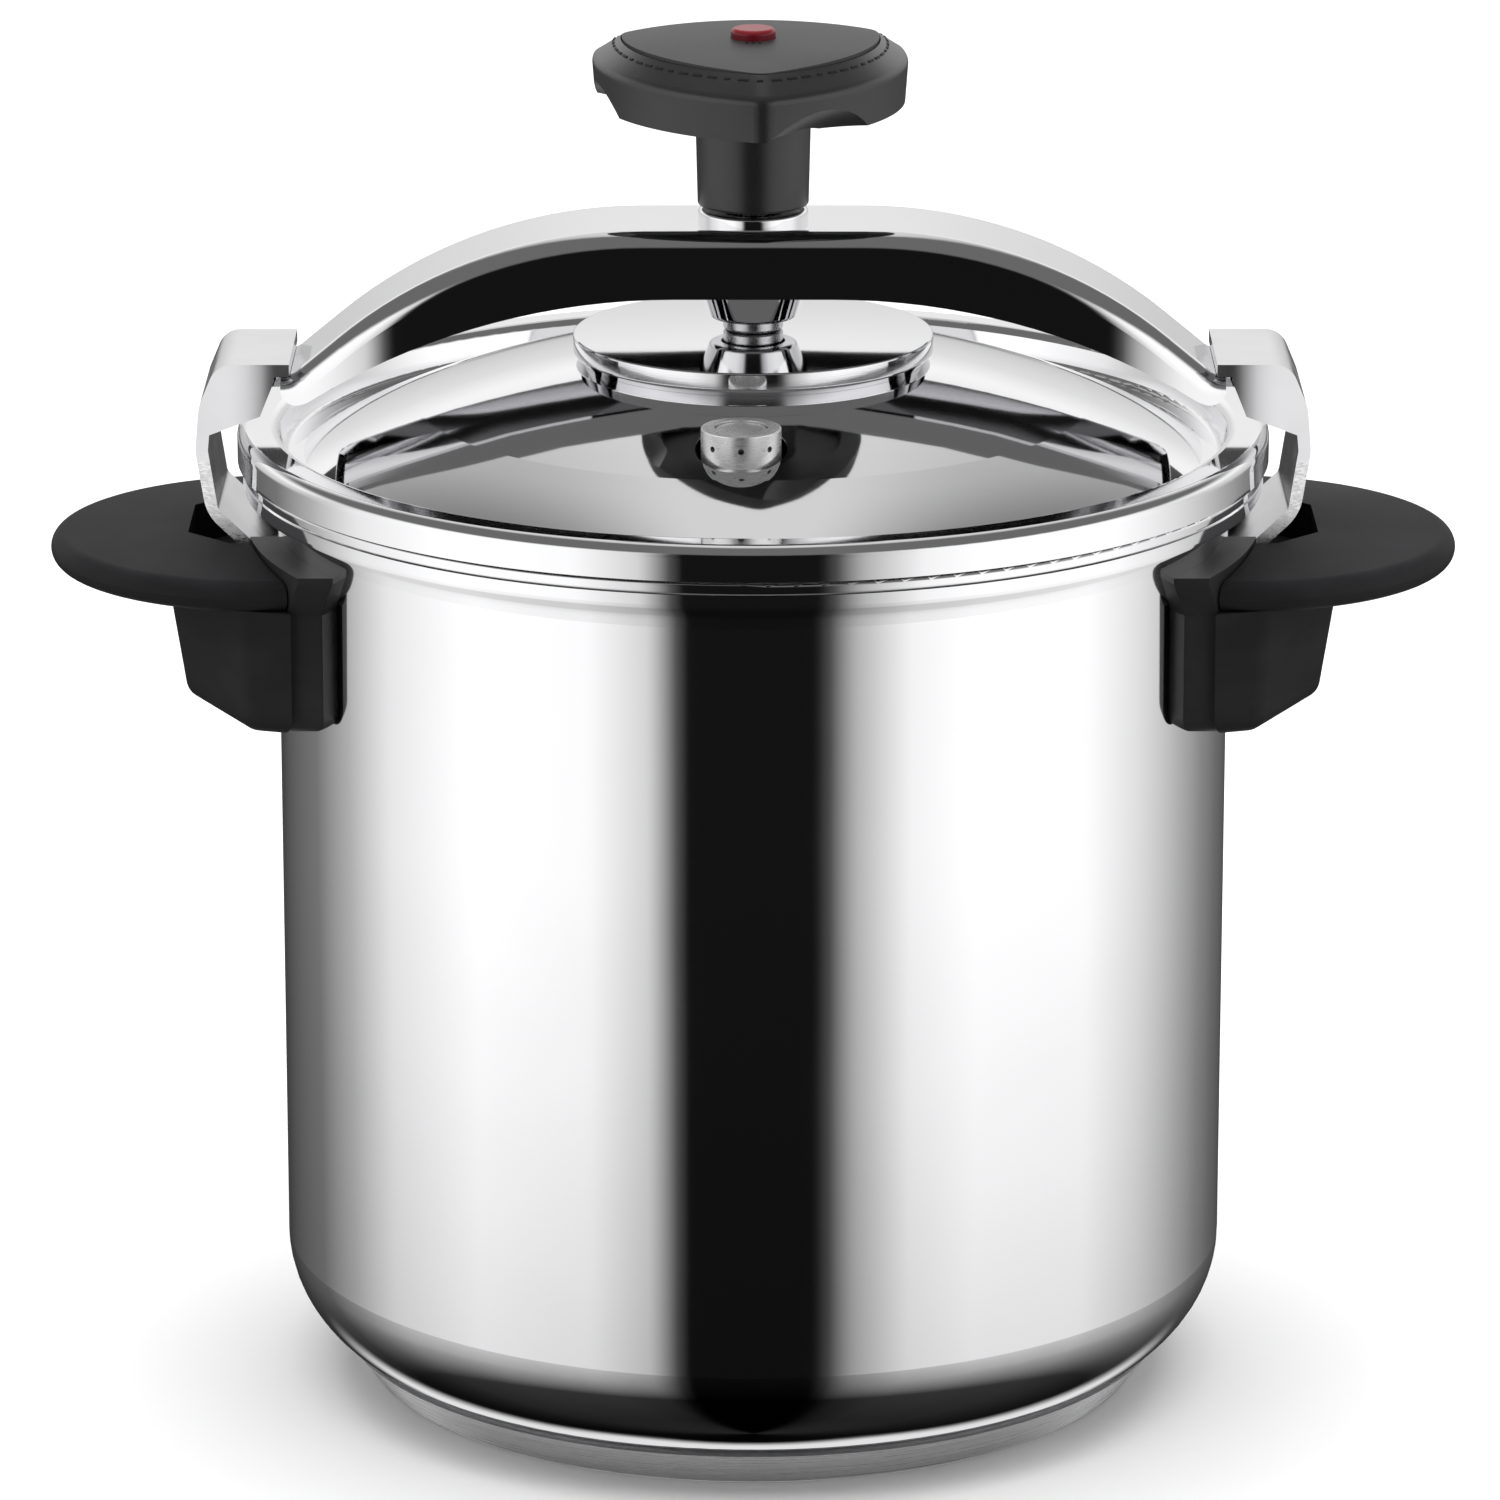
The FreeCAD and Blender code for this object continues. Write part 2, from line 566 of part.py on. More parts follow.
def make_valve():
    sheet_under = s.seat_height - s.lid_sheet
    seal_low = sheet_under - s.seal_height
    nut_low = seal_low - s.valve_nut_height
    flange_top = s.seat_height + s.valve_flange
    seat_ring_top = flange_top + s.seat_ring_height
    plunger_low = seat_ring_top + s.contact_gap
    plunger_step = plunger_low + s.plunger_foot_height
    guard_inner = s.guard_inner
    guard_under = s.guard_top - s.guard_sheet
    shank = s.valve_hole

    body = new_body("valve_body")
    turn(body, [
        (s.valve_bore, nut_low - s.valve_tail), (shank, nut_low - s.valve_tail), (shank, s.seat_height),
        (guard_inner, s.seat_height), (guard_inner, flange_top), (s.valve_bore, flange_top)])
    at_valve(body)

    ring = new_body("valve_seat_ring")
    turn(ring, [
        (s.valve_bore + 0.4, flange_top), (s.valve_bore + 2.6, flange_top),
        (s.valve_bore + 2.6, seat_ring_top), (s.valve_bore + 0.4, seat_ring_top)])
    at_valve(ring)

    seal = new_body("valve_seal")
    turn(seal, [(shank, seal_low), (shank + s.seal_width, seal_low), (shank + s.seal_width, sheet_under),
               (shank, sheet_under)])
    at_valve(seal)

    nut = new_body("valve_nut")
    sketch = new_sketch(nut, "XY", nut_low)
    across = (shank + s.valve_nut_width) / cosine(sized(30))
    draw_outline(sketch, [(across * cosine(sized(60 * k)), across * sine(sized(60 * k)))
                          for k in range(6)])
    draw_circle(sketch, 0, 0, shank)
    extrude(nut, sketch, seal_low - nut_low)
    at_valve(nut)

    guard = new_body("valve_guard")
    turn(guard, [
        (guard_inner, s.seat_height), (s.guard_radius, s.seat_height), (s.guard_radius, s.guard_top),
        (s.plunger_top + s.clearance, s.guard_top), (s.plunger_top + s.clearance, guard_under),
        (guard_inner, guard_under)])
    round_off(guard, s.guard_sheet * 0.75, on_ring(s.guard_radius, s.guard_top))
    before = guard.Shape.Volume
    vents = new_sketch(guard, "XZ")
    draw_circle(vents, 0, s.guard_top - s.vent_drop, s.vent_radius)
    drill = extrude(guard, vents, s.guard_radius + 1, "Pocket")
    pattern = guard.newObject("PartDesign::PolarPattern", "valve_guard_vents")
    pattern.Originals = [drill]
    pattern.Axis = (vents, ["V_Axis"])
    pattern.Angle = 360
    pattern.Occurrences = 8
    guard.Tip = pattern
    doc.recompute()
    cut_check(guard, before)
    at_valve(guard)

    plunger = new_body("valve_plunger")
    turn(plunger, [
        (0, plunger_low), (s.plunger_foot, plunger_low), (s.plunger_foot, plunger_step),
        (s.plunger_top, plunger_step), (s.plunger_top, s.guard_top - 0.4), (0, s.guard_top - 0.4)])
    round_off(plunger, 0.5, on_ring(s.plunger_top, s.guard_top - 0.4))
    at_valve(plunger)

    spring = new_body("valve_spring")
    room = guard_under - plunger_step
    sketch = new_sketch(spring, "XZ")
    draw_circle(sketch, s.spring_coil, plunger_step + s.spring_wire / 2 + s.contact_gap, s.spring_wire / 2)
    coil = spring.newObject("PartDesign::AdditiveHelix", "valve_spring_coil")
    coil.Profile = sketch
    coil.ReferenceAxis = (sketch, ["V_Axis"])
    coil.Mode = "height-turns-angle"
    bind(coil, "Height", room - s.spring_wire - s.contact_gap * 2)
    coil.Turns = 3.5
    doc.recompute()
    at_valve(spring)


# --------------------------------------------------------------------------- bridge

def both_halves(corners):
    """Corners of the right half, then the same corners mirrored, in one closed outline."""
    left = []
    for index in range(len(corners) - 1, -1, -1):
        x, z = corners[index][:2]
        arc = corners[index - 1][2:] if index > 0 else ()
        left.append((-x, z) + arc)
    return corners + left


def make_arch():
    body = new_body("bridge_arch")
    shoulder_x = s.arch_flat + s.arch_bend * sine(s.arch_slope)
    shoulder_z = s.arch_top - s.arch_bend + s.arch_bend * cosine(s.arch_slope)
    fall = tangent(s.arch_slope)
    flange_end = s.flange_height - s.flange_fall
    end_low = flange_end - s.flange_end_step

    bar = new_sketch(body, "XZ")
    draw_outline(bar, both_halves([
        (s.arch_flat, s.arch_top, s.arch_bend, -1), (shoulder_x, shoulder_z), (s.arch_foot, s.tongue_top),
        (s.arch_end, s.tongue_top), (s.arch_end, end_low),
        (s.flange_reach, flange_end, s.flange_bend, 1), (s.flange_flat, s.flange_height)]))
    extrude(body, bar, s.arch_half * 2, symmetric=True)
    round_off(body, s.arch_end_round, along_y(s.arch_foot, s.tongue_top), along_y(-s.arch_foot, s.tongue_top))
    round_off(body, s.arch_end_round, along_y(s.arch_end, end_low), along_y(-s.arch_end, end_low))

    def is_top(edge):
        """Picks the long edges along the top, from the middle down to both feet."""
        middle = edge.valueAt((edge.FirstParameter + edge.LastParameter) / 2)
        if abs(abs(middle.y) - s.arch_half.value) > TOUCH:
            return False
        x = abs(middle.x)
        over = x - s.arch_flat.value
        crown = s.arch_top.value
        if x < s.arch_flat.value:
            return abs(middle.z - crown) < TOUCH
        if x < shoulder_x.value:
            drop = s.arch_bend.value - math.sqrt(s.arch_bend.value ** 2 - over ** 2)
            return abs(middle.z - crown + drop) < 0.01
        return middle.z > s.tongue_top.value - 0.1
    round_off(body, s.arch_round, is_top)

    inner_x = s.arch_flat + (s.arch_bend - s.arch_sheet) * sine(s.arch_slope)
    inner_z = s.arch_top - s.arch_bend + (s.arch_bend - s.arch_sheet) * cosine(s.arch_slope)
    inner_low = s.tongue_top - s.tongue_sheet
    inner_foot = inner_x + (inner_z - inner_low) / fall
    below = end_low - 10
    hollow = new_sketch(body, "XZ")
    draw_outline(hollow, both_halves([
        (s.arch_flat, s.web_under, s.arch_bend - s.arch_sheet, -1), (inner_x, inner_z),
        (inner_foot, inner_low), (inner_foot, below)]))
    pocket(body, hollow, (s.arch_half - s.arch_sheet) * 2, symmetric=True)

    tongues = new_sketch(body, "XZ")
    root_x = s.arch_end - s.arch_sheet / 2
    for way in (1, -1):
        draw_outline(tongues, [
            (root_x * way, s.tongue_top), (s.tongue_end * way, s.tongue_top),
            (s.tongue_end * way, inner_low), (root_x * way, inner_low)])
    extrude(body, tongues, s.tongue_half * 2, symmetric=True)
    bore = new_sketch(body, "XY", s.arch_top)
    draw_circle(bore, 0, 0, s.nut_neck)
    pocket(body, bore, s.arch_sheet * 2)


def make_bridge_nut():
    nut = new_body("bridge_nut")
    bore = s.spindle_radius + s.running_fit
    turn(nut, [
        (s.nut_hollow, s.nut_low), (s.nut_mouth, s.nut_low), (s.nut_radius, s.flange_height),
        (s.nut_radius, s.web_under), (s.nut_neck, s.web_under), (s.nut_neck, s.nut_top),
        (bore, s.nut_top), (bore, s.hollow_top), (s.nut_hollow, s.hollow_top)])
    round_off(nut, s.nut_round, on_ring(s.nut_mouth, s.nut_low))
    ring = new_body("bridge_nut_ring")
    turn(ring, [(s.nut_neck, s.arch_top), (s.nut_ring, s.arch_top), (s.nut_ring, s.nut_top),
                (s.nut_neck, s.nut_top)])
    round_off(ring, 1, on_ring(s.nut_ring, s.nut_top))


# --------------------------------------------------------------------------- hook brackets

def make_brackets():
    body = new_body("bracket_right")
    sheet = s.hook_sheet
    leg_inner = s.pot_radius - s.leg_wrap
    elbow = (s.hook_reach - s.elbow_inset, s.leg_knee + s.elbow_rise)
    waist = (s.hook_reach, s.leg_knee + s.waist_rise)
    cheek = (s.hook_reach - s.cheek_inset, s.hook_top - s.cheek_drop)
    crown = (s.hook_reach - s.crown_inset, s.hook_top)
    # each inner corner lies one sheet inside its outer corner, along the bend's mitre
    inner_crown = (crown[0] - sheet * 0.66, s.hook_under)
    inner_cheek = (cheek[0] - sheet, cheek[1] - sheet * 0.13)
    inner_waist = (waist[0] - sheet, waist[1] + sheet * 0.05)
    inner_elbow = (elbow[0] - sheet * 0.9, elbow[1] + sheet * 0.45)
    inner_knee = (leg_inner, s.leg_knee - 0.6)
    strap = new_sketch(body, "XZ")
    draw_outline(strap, [
        (s.leg_outer, s.leg_low), (s.leg_outer, s.leg_knee), elbow, waist, cheek, crown,
        (s.hook_tip, s.hook_top), (s.hook_tip, s.hook_under), inner_crown, inner_cheek, inner_waist,
        inner_elbow, inner_knee, (leg_inner, s.leg_low)])
    extrude(body, strap, s.hook_half * 2, symmetric=True)

    # closed front flange, which is also the stop that the bridge's tongue meets
    flange = new_sketch(body, "XZ", s.hook_half)
    cheek_low = (waist[0] - (waist[0] - cheek[0]) * 0.26, waist[1] + (cheek[1] - waist[1]) * 0.26)
    draw_outline(flange, [
        (s.arch_end + 1.6, s.hook_top), (s.arch_end + 1.6, s.hook_under - 1.4),
        (s.arch_end + 5.2, waist[1] + 9), (s.arch_end + 12.2, waist[1] + 6.4), cheek_low,
        cheek, crown])
    extrude(body, flange, sheet, reverse=True)
    round_off(body, s.crown_round, along_y(*crown), along_y(s.leg_outer, s.leg_knee))
    round_off(body, s.strap_round, along_y(*elbow), along_y(*cheek), along_y(*waist))
    round_off(body, s.inner_round, along_y(*inner_crown), along_y(*inner_elbow), along_y(*inner_knee))

    ring = new_sketch(body, "XY", s.leg_low - 1)
    draw_circle(ring, 0, 0, s.pot_radius)
    pocket(body, ring, s.leg_knee + 6 - s.leg_low, reverse=True)
    mirrored(body, "bracket_left")


# --------------------------------------------------------------------------- handles

def drill_along_x(body, height, radius, start, depth, shift=0):
    """Drill a round hole along X from start, through depth."""
    hole = new_sketch(body, "YZ", sized(start) - shift)
    draw_circle(hole, 0, height, radius)
    pocket(body, hole, depth, reverse=True)


def make_spacer():
    body = new_body("spacer_right")
    sketch = new_sketch(body, "XZ")
    draw_outline(sketch, [
        (s.pot_radius, s.post_low), (s.spacer_radius, s.post_low), (s.spacer_radius, s.spacer_top),
        (s.pot_radius, s.spacer_top)])
    ring = body.newObject("PartDesign::Revolution", "spacer_revolution")
    ring.Profile = sketch
    ring.ReferenceAxis = (sketch, ["V_Axis"])
    ring.Midplane = True
    ring.Angle = 100
    doc.recompute()

    # the ends are cut straight, and step out to the flare under the wing
    shapes = new_sketch(body, "YZ", s.pot_radius * 0.5)
    flare_low = s.spacer_top - s.flare_low_drop
    flare_high = s.spacer_top - s.flare_high_drop
    beyond = s.spacer_radius + s.clearance
    under = s.spacer_half - s.spacer_round
    for way in (1, -1):
        draw_outline(shapes, [
            (under * way, s.post_low - 5), (beyond * way, s.post_low - 5),
            (beyond * way, s.spacer_top + 5), (s.flare_half * way, s.spacer_top + 5),
            (s.flare_half * way, flare_high), (s.spacer_half * way, flare_low),
            (s.spacer_half * way, s.post_low + s.spacer_round, s.spacer_round, -way),
            (under * way, s.post_low)])
    pocket(body, shapes, s.spacer_radius, reverse=True)

    # channel for the bracket's leg, open outward above the leg's bend
    slot_half = s.hook_half + s.clearance
    leg = new_sketch(body, "XY", s.leg_low - s.clearance)
    draw_outline(leg, [
        (s.pot_radius - 4, -slot_half), (s.leg_outer + s.clearance, -slot_half),
        (s.leg_outer + s.clearance, slot_half), (s.pot_radius - 4, slot_half)])
    pocket(body, leg, 60, reverse=True)
    bend = new_sketch(body, "XY", s.leg_knee - 4)
    draw_outline(bend, [
        (s.pot_radius - 4, -slot_half), (s.spacer_radius + 4, -slot_half),
        (s.spacer_radius + 4, slot_half), (s.pot_radius - 4, slot_half)])
    pocket(body, bend, 60, reverse=True)
    drill_along_x(body, s.screw_height, s.stud_radius, s.pot_radius, 12)
    mirrored(body, "spacer_left")


def post_outline(height_sketch, reach, side_shift):
    """Plan of the handle's post: a front facet, a sloping facet and a flat outer face."""
    inner = s.wing_centre * 0.86
    half = [
        (inner, -s.post_wide - 7), (s.post_side - side_shift, -s.post_wide),
        (reach, -s.post_half)]
    corners = [(x - s.wing_centre, y) for x, y in half]
    corners += [(x, -y) for x, y in reversed(corners)]
    draw_outline(height_sketch, corners)


def make_grip():
    body = new_body("grip_right")

    # crowned top and underside, each running smoothly into the rounded nose
    nose = s.wing_nose
    nose_x = s.wing_radius - nose
    nose_z = s.wing_top - s.nose_drop

    def crown(height):
        """Radius of the arc that rises from the axis at this height over the nose, and the
        reach and height over the nose at which the two touch."""
        arc = (nose_x * nose_x + height * height - nose * nose) / ((height - nose) * 2)
        share = arc / (arc - nose)
        return arc, nose_x * share, height - arc + (arc - height) * share
    top_arc, top_x, top_z = crown(s.nose_drop)
    low_arc, low_x, low_z = crown(s.wing_height - s.nose_drop)
    turn(body, [
        (0, s.wing_top), (0, s.wing_under, low_arc, 1), (low_x, nose_z - low_z, nose, 1),
        (top_x, nose_z + top_z, top_arc, 1)])

    post_top = s.wing_under + 3
    upper = new_sketch(body, "XY", post_top)
    post_outline(upper, s.post_reach, sized(0))
    lower = new_sketch(body, "XY", s.post_low)
    post_outline(lower, s.post_foot_reach, sized(1.5))
    post = body.newObject("PartDesign::AdditiveLoft", "grip_post")
    post.Profile = upper
    post.Sections = [lower]
    post.Ruled = True
    doc.recompute()

    def foot_edge(edge):
        """Picks the outer edges of the post's underside."""
        low = all(abs(v.Z - s.post_low.value) < TOUCH for v in edge.Vertexes)
        middle = edge.valueAt((edge.FirstParameter + edge.LastParameter) / 2)
        return low and middle.x > -5

    def corner_edge(edge):
        """Picks the upright edges between the post's facets."""
        heights = sorted(v.Z for v in edge.Vertexes)
        middle = edge.valueAt((edge.FirstParameter + edge.LastParameter) / 2)
        return (len(heights) == 2 and abs(heights[0] - s.post_low.value) < TOUCH
                and heights[1] > s.wing_under.value - 1 and middle.x > 0)
    round_off(body, s.post_round, corner_edge)
    round_off(body, s.foot_round, foot_edge)

    seam = new_sketch(body, "XY", s.post_low - 5)
    draw_circle(seam, -s.wing_centre, 0, s.spacer_radius + s.seam_gap)
    pocket(body, seam, 80, reverse=True)

    well = new_sketch(body, "XY", s.well_floor)
    inner = s.pot_radius - s.wing_centre
    shoulder = s.well_reach - s.well_chamfer
    draw_outline(well, [
        (inner, -s.well_half), (shoulder - s.wing_centre, -s.well_half),
        (s.well_reach - s.wing_centre, -s.well_half + s.well_chamfer),
        (s.well_reach - s.wing_centre, s.well_half - s.well_chamfer),
        (shoulder - s.wing_centre, s.well_half), (inner, s.well_half)])
    pocket(body, well, 30, reverse=True)

    drill_along_x(body, s.screw_height, s.stud_radius, s.leg_outer, s.stud_length, s.wing_centre)
    drill_along_x(body, s.screw_height, s.screw_radius, s.stud_end, 30, s.wing_centre)
    drill_along_x(body, s.screw_height, s.screw_head + s.clearance, s.stud_end + s.screw_seat, 30,
                  s.wing_centre)
    bind(body, "Placement.Base.x", s.wing_centre)
    mirrored(body, "grip_left")


def make_fasteners():
    """The studs welded to the brackets' legs, and the screws that hold the handles to them."""
    stud = new_body("grip_stud_right", listed=False)
    ring = new_sketch(stud, "YZ", s.leg_outer)
    draw_circle(ring, 0, s.screw_height, s.stud_radius)
    draw_circle(ring, 0, s.screw_height, s.screw_radius)
    extrude(stud, ring, s.stud_length)
    pair(stud, "grip_studs")

    screw = new_body("grip_screw_right", listed=False)
    shank = new_sketch(screw, "YZ", s.leg_outer + 2)
    draw_circle(shank, 0, s.screw_height, s.screw_radius)
    extrude(screw, shank, s.stud_length + 2)
    head = new_sketch(screw, "YZ", s.stud_end + s.screw_seat)
    draw_circle(head, 0, s.screw_height, s.screw_head)
    extrude(screw, head, s.screw_head_height)
    socket = new_sketch(screw, "YZ", s.stud_end + s.screw_seat + s.screw_head_height)
    hexagon = s.screw_head * 0.5
    draw_outline(socket, [(hexagon * cosine(sized(60 * k)), s.screw_height + hexagon * sine(sized(60 * k)))
                          for k in range(6)])
    pocket(screw, socket, s.screw_head_height * 0.6)
    pair(screw, "grip_screws")


# --------------------------------------------------------------------------- spindle and knob

def make_spindle():
    pivot_low = s.spindle_shoulder - s.pivot_length
    bore = s.tap_radius
    spindle = new_body("spindle")
    turn(spindle, [
        (0, pivot_low), (s.pivot_radius, pivot_low), (s.pivot_radius, s.spindle_shoulder),
        (s.spindle_radius, s.spindle_shoulder), (s.spindle_radius, s.spindle_top),
        (bore, s.spindle_top), (bore, s.spindle_top - s.tap_depth), (0, s.spindle_top - s.tap_depth)])

    foot = new_body("thrust_foot")
    socket = s.pivot_radius + s.running_fit
    foot_top = s.foot_bottom + s.foot_height
    turn(foot, [
        (0, s.foot_bottom), (s.foot_radius, s.foot_bottom), (s.foot_radius, foot_top), (socket, foot_top),
        (socket, pivot_low - s.contact_gap), (0, pivot_low - s.contact_gap)])
    round_off(foot, 0.8, on_ring(s.foot_radius, s.foot_bottom), on_ring(s.foot_radius, foot_top))

    insert = new_body("knob_insert")
    turn(insert, [
        (s.spindle_radius, s.stem_bottom + s.insert_lift),
        (s.insert_radius, s.stem_bottom + s.insert_lift),
        (s.insert_radius, s.spindle_top), (s.spindle_radius, s.spindle_top)])

    screw = new_body("knob_screw")
    turn(screw, [
        (0, s.spindle_top - s.tap_screw), (bore, s.spindle_top - s.tap_screw),
        (bore, s.spindle_top), (s.insert_radius - 1, s.spindle_top),
        (s.insert_radius - 1, s.spindle_top + s.screw_cap_height),
        (0, s.spindle_top + s.screw_cap_height)])


def draw_three_fold(sketch, side_radius, offset, corner_radius):
    """A bulging triangle of side arcs and corner arcs; its corners lie one scallop_turn
    clockwise of the scallops, and the first scallop is towards -Y."""
    middle = side_radius - corner_radius
    reach = (root(middle * middle * 4 - offset * offset * 3) - offset) / 2
    sides, corners = [], []
    for k in range(3):
        side_way = sized(-30 + 120 * k) - s.scallop_turn
        centre = (-(offset * cosine(side_way)), -(offset * sine(side_way)))
        centre_point = Vector(centre[0].value, centre[1].value, 0)
        ends = []
        for corner_angle in (-90 + 120 * k, 30 + 120 * k):
            way = math.radians(corner_angle - s.scallop_turn.value)
            corner = Vector(math.cos(way), math.sin(way), 0) * reach.value
            ends.append((corner - centre_point).normalize())
        angles = [math.atan2(e.y, e.x) for e in ends]
        if angles[1] < angles[0]:
            angles[1] += 2 * math.pi
        circle = Part.Circle(centre_point, Vector(0, 0, 1), side_radius.value)
        edge = sketch.addGeometry(Part.ArcOfCircle(circle, *angles))
        fix_point(sketch, edge, 3, *centre)
        fix_value(sketch, "Radius", (edge,), side_radius)
        sides.append((edge, angles))
    for k in range(3):
        way = math.radians(-90 + 120 * k - s.scallop_turn.value)
        centre = Vector(math.cos(way), math.sin(way), 0) * reach.value
        start = sides[(k + 2) % 3][1][1]
        end = sides[k][1][0]
        while end < start:
            end += 2 * math.pi
        while end - start > 2 * math.pi:
            end -= 2 * math.pi
        circle = Part.Circle(centre, Vector(0, 0, 1), corner_radius.value)
        edge = sketch.addGeometry(Part.ArcOfCircle(circle, start, end))
        fix_value(sketch, "Radius", (edge,), corner_radius)
        sketch.addConstraint(Sketcher.Constraint("Tangent", sides[(k + 2) % 3][0], 2, edge, 1))
        sketch.addConstraint(Sketcher.Constraint("Tangent", edge, 2, sides[k][0], 1))


def loft(body, *sketches):
    feature = body.newObject("PartDesign::AdditiveLoft", f"{body.Label}_loft")
    feature.Profile = sketches[0]
    feature.Sections = list(sketches[1:])
    feature.Ruled = True
    doc.recompute()
    return feature


def aim_knob(body):
    """Turn a knob piece about Z so that its front corner stands knob_turned from -Y."""
    angle = s.knob_turned + s.scallop_turn
    body.Placement = FreeCAD.Placement(Vector(), FreeCAD.Rotation(Vector(0, 0, 1), angle.value))
    bind(body, "Placement.Rotation.Angle", angle)


def make_knob():
    body = new_body("knob")
    ring = (s.cover_side + s.clearance, s.cover_offset, s.cover_corner + s.clearance)
    drafted = (s.head_side - s.head_draft, s.head_offset, s.head_corner - s.head_draft)
    full = (s.head_side, s.head_offset, s.head_corner)
    levels = []
    for height, shape in ((s.head_low, drafted), (s.head_edge, full), (s.cover_edge, ring)):
        sketch = new_sketch(body, "XY", height)
        draw_three_fold(sketch, *shape)
        levels.append(sketch)
    loft(body, levels[0], levels[1])
    second = new_sketch(body, "XY", s.head_edge)
    draw_three_fold(second, *full)
    loft(body, second, levels[2])

    def on_level(height, least=0.0):
        def chosen(edge):
            middle = edge.valueAt((edge.FirstParameter + edge.LastParameter) / 2)
            flat = all(abs(v.Z - height.value) < TOUCH for v in edge.Vertexes)
            return flat and math.hypot(middle.x, middle.y) > least
        return chosen
    round_off(body, s.head_round, on_level(s.head_edge))

    # hollow underside, then the stem in the middle of it
    hollow = new_sketch(body, "XY", s.head_low)
    draw_three_fold(hollow, s.head_side - s.rim_wall, s.head_offset, s.hollow_corner)
    pocket(body, hollow, s.under_hollow, reverse=True)
    turn(body, [
        (s.insert_radius, s.stem_bottom), (s.stem_radius, s.stem_bottom),
        (s.stem_top_radius, s.head_low), (s.stem_top_radius + 1, s.head_low + s.under_hollow + 1),
        (s.insert_radius, s.head_low + s.under_hollow + 1)])
    round_off(body, 0.8, on_ring(s.stem_radius, s.stem_bottom))

    # the cover's seat and the well over the fixing screw
    seat = new_sketch(body, "XY", s.cover_low)
    draw_three_fold(seat, *ring)
    pocket(body, seat, 10, reverse=True)
    well = new_sketch(body, "XY", s.spindle_top)
    draw_circle(well, 0, 0, s.insert_radius)
    pocket(body, well, 30, reverse=True)

    # finger scoops in the rim's lower edge, one beside each corner
    before = body.Shape.Volume
    ball = body.newObject("PartDesign::SubtractiveSphere", "knob_scallop")
    aim = new_sketch(body, "XZ")    # left empty: its axes place the ball and its pattern
    ball.AttachmentSupport = [(aim, "")]
    ball.MapMode = "ObjectXY"
    bind(ball, "Radius", s.scallop_radius)
    bind(ball, "AttachmentOffset.Base.y", s.scallop_height)
    bind(ball, "AttachmentOffset.Base.z", s.head_side - s.head_offset + s.scallop_reach)
    doc.recompute()
    pattern = body.newObject("PartDesign::PolarPattern", "knob_scallops")
    pattern.Originals = [ball]
    pattern.Axis = (aim, ["V_Axis"])
    pattern.Angle = 360
    pattern.Occurrences = 3
    body.Tip = pattern
    doc.recompute()
    cut_check(body, before)
    aim_knob(body)


def make_cover():
    body = new_body("knob_cover")
    low = s.cover_low
    sketch = new_sketch(body, "XY", low)
    draw_three_fold(sketch, s.cover_side, s.cover_offset, s.cover_corner)
    extrude(body, sketch, s.cover_top - low + 1)
    reach = s.cover_side - s.cover_offset + s.cover_corner * 1.5
    rise = s.cover_crown
    sphere = (reach * reach + rise * rise) / (rise * 2)
    before = body.Shape.Volume
    turn(body, [(0, s.cover_top), (0, s.cover_top + 20), (reach, s.cover_top + 20),
                (reach, s.cover_edge, sphere, 1)], "Groove")
    cut_check(body, before)
    rest = s.cover_top - s.cap_seat
    seat = new_sketch(body, "XY", rest)
    draw_circle(seat, 0, 0, s.knob_cap_radius + s.contact_gap)
    pocket(body, seat, 10, reverse=True)
    hole = new_sketch(body, "XY", s.cover_top)
    draw_circle(hole, 0, 0, s.cap_plug)
    pocket(body, hole, 10)
    aim_knob(body)

    cap = new_body("knob_cap")
    turn(cap, [
        (0, low), (s.cap_plug, low), (s.cap_plug, rest), (s.knob_cap_radius, rest),
        (s.knob_cap_radius, s.knob_cap_top), (0, s.knob_cap_top)])
    round_off(cap, 1.2, on_ring(s.knob_cap_radius, s.knob_cap_top))
    round_off(cap, 0.6, on_ring(s.knob_cap_radius, rest))


# --------------------------------------------------------------------------- build and write

def check_document():
    """Stop on any failed object, null shape or invalid shape."""
    doc.recompute()
    for thing in doc.Objects:
        if "Invalid" in thing.State or "Error" in thing.State:
            raise RuntimeError(f"{thing.Label} failed: {thing.State}")
    for node in nodes:
        if node.Shape.isNull() or not node.Shape.isValid():
            raise RuntimeError(f"{node.Label} has no valid shape")


make_pot()
make_base()
make_lid()
make_gasket()
make_plate()
make_valve()
make_arch()
make_bridge_nut()
make_brackets()
make_spacer()
make_grip()
make_fasteners()
make_spindle()
make_knob()
make_cover()
check_document()

os.makedirs("parts", exist_ok=True)
for node in nodes:
    node.Shape.exportStep(f"parts/{node.Label}.step")
    print(f"{node.Label}: {len(node.Shape.Solids)} solid(s), {node.Shape.Volume / 1000:.2f} cm3")
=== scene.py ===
"""Arch-bridge pressure cooker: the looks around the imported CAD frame. Metres, +Z up."""

import math

import bmesh
import bpy
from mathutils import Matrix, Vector, geometry
from mathutils.bvhtree import BVHTree


